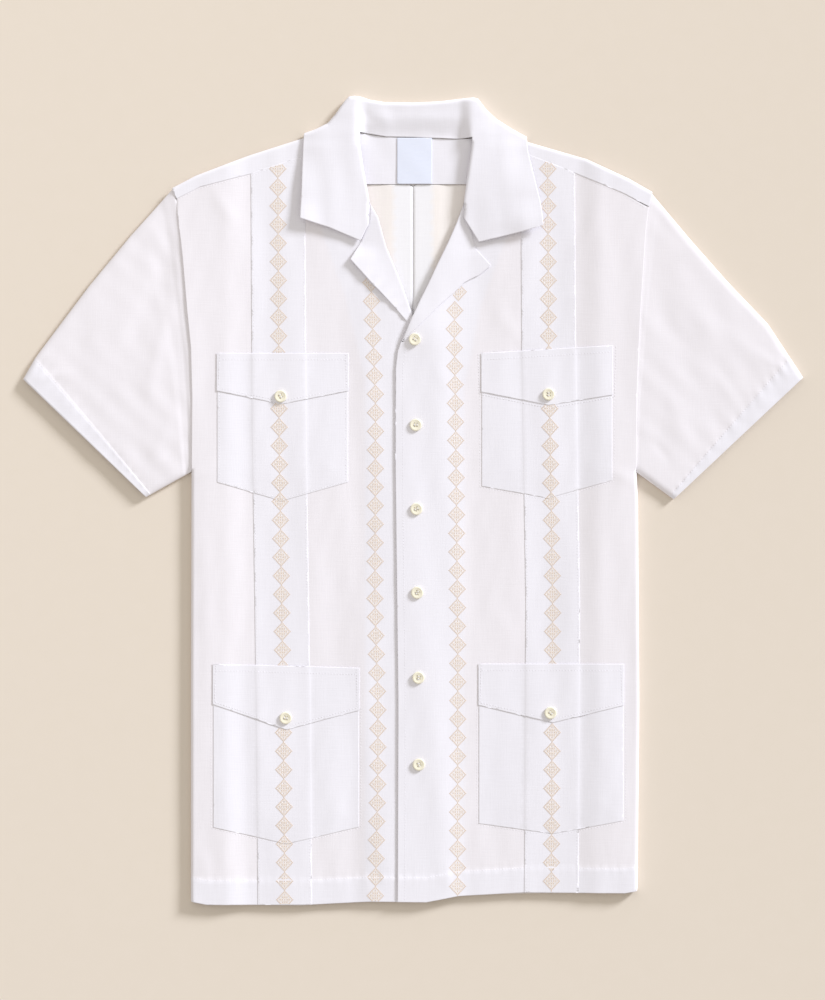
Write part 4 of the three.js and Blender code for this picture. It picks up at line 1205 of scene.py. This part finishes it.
def embroidery(side, inner):
    """A column of diamonds on one front: each stitch a low pillow, beige or tan."""
    column = INNER_COLUMNS[side] if inner else BANDS[side]
    stitches = []
    for centre in column_centres(side, inner):
        middle = float(line_at(column, centre))
        for i, j, dark in diamond_chart():
            stitches.append((middle + i * STITCH * NARROW, centre + j * STITCH, dark))
    x, y, dark = np.array(stitches).T
    shown = stitch_shows(side, inner, x, y)
    x, y, dark = x[shown], y[shown], dark[shown] > 0
    z = visible_height(side, x, y) + CLOTH / 2 + 0.04 * (not inner)
    half, low, crown = STITCH * 0.49, -0.25, 0.08
    vertices, faces, tints = [], [], []
    ring = [(-1, -1), (1, -1), (1, 1), (-1, 1)]
    for px, py, pz, deep in zip(x, y, z, dark):
        first = len(vertices)
        rise = crown + (0.05 if deep else 0.0)
        vertices += [(px + sx * half * NARROW, py + sy * half, pz + low) for sx, sy in ring]
        vertices += [(px + sx * half * 0.86 * NARROW, py + sy * half * 0.94, pz + rise) for sx, sy in ring]
        faces.append((first + 3, first + 2, first + 1, first))
        faces.append((first + 4, first + 5, first + 6, first + 7))
        faces += [(first + k, first + (k + 1) % 4, first + 4 + (k + 1) % 4, first + 4 + k) for k in range(4)]
        tints += [int(deep)] * 6
    piece = mesh_object(f"embroidery_{'inner' if inner else 'outer'}_{side}", vertices, faces, BEIGE, TAN)
    piece.data.polygons.foreach_set("material_index", tints)
    piece.data.polygons.foreach_set("use_smooth", [False] * len(tints))
    finish_piece(piece, "embroidered_band")


# ---- surroundings --------------------------------------------------------------------------------
FLOOR_HALF = 3000
FLOOR_Z = -0.05
SKY = (0.664, 0.645, 0.620, 1)
SKY_STRENGTH = 0.882
SUN_ELEVATION = math.radians(19)
SUN_BEARING = math.radians(39.6)  # from +X towards +Y
SUN_WIDTH = math.radians(13)
SUN_ON_FLOOR = 0.404  # how brightly it lights the floor
EYE = (-0.0005, 0.001, 2.6)  # metres
FRAMED = 0.980  # metres across the picture at the shirt's height


def add_object(name, data, location=(0, 0, 0)):
    piece = bpy.data.objects.new(name, data)
    piece.location = location
    bpy.context.scene.collection.objects.link(piece)
    return piece


def floor():
    corners = [(x * FLOOR_HALF, y * FLOOR_HALF, FLOOR_Z) for x, y in ((-1, -1), (1, -1), (1, 1), (-1, 1))]
    mesh_object("floor", corners, [(0, 1, 2, 3)], paper("floor_paper"))


def lights():
    """Bright even fill, low soft sun from the upper right, a broad lamp overhead."""
    world = bpy.data.worlds.new("fill")
    world.use_nodes = True
    background = world.node_tree.nodes["Background"]
    background.inputs["Color"].default_value = SKY
    background.inputs["Strength"].default_value = SKY_STRENGTH
    bpy.context.scene.world = world
    sun = bpy.data.lights.new("key", "SUN")
    sun.color = (0.87, 0.91, 1.0)
    sun.energy = SUN_ON_FLOOR * math.pi / math.sin(SUN_ELEVATION)
    sun.angle = SUN_WIDTH
    level_part = math.cos(SUN_ELEVATION)
    travel = Vector((-level_part * math.cos(SUN_BEARING), -level_part * math.sin(SUN_BEARING),
                     -math.sin(SUN_ELEVATION)))
    add_object("key", sun).rotation_euler = travel.to_track_quat("-Z", "Y").to_euler()
    panel = bpy.data.lights.new("overhead", "AREA")
    panel.shape = "DISK"
    panel.size = 1.6
    panel.energy = 2.6
    panel.color = (1.0, 0.975, 0.94)
    add_object("overhead", panel, (-0.55, 0.65, 1.5))


def camera():
    """Straight above the shirt."""
    lens = bpy.data.cameras.new("camera")
    lens.lens = lens.sensor_width * (EYE[2] - 0.005) / FRAMED
    bpy.context.scene.camera = add_object("camera", lens, EYE)
    bpy.context.scene.view_settings.view_transform = "Standard"


# ---- the shirt -----------------------------------------------------------------------------------
floor()
lights()
camera()
back()
yoke()
for one_side in OUT:
    front(one_side)
    facing(one_side)
    band(one_side)
    sleeve(one_side)
    embroidery(one_side, inner=False)
    embroidery(one_side, inner=True)
collar()
for one_pocket in POCKETS:
    pocket(one_pocket)
    flap(one_pocket)
label()
for number, button_node in enumerate(sorted(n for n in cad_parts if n.startswith("button_"))):
    button(button_node, 0.5 * number)
for one_side in OUT:
    stitching(one_side)
    cuff_stitching(one_side)
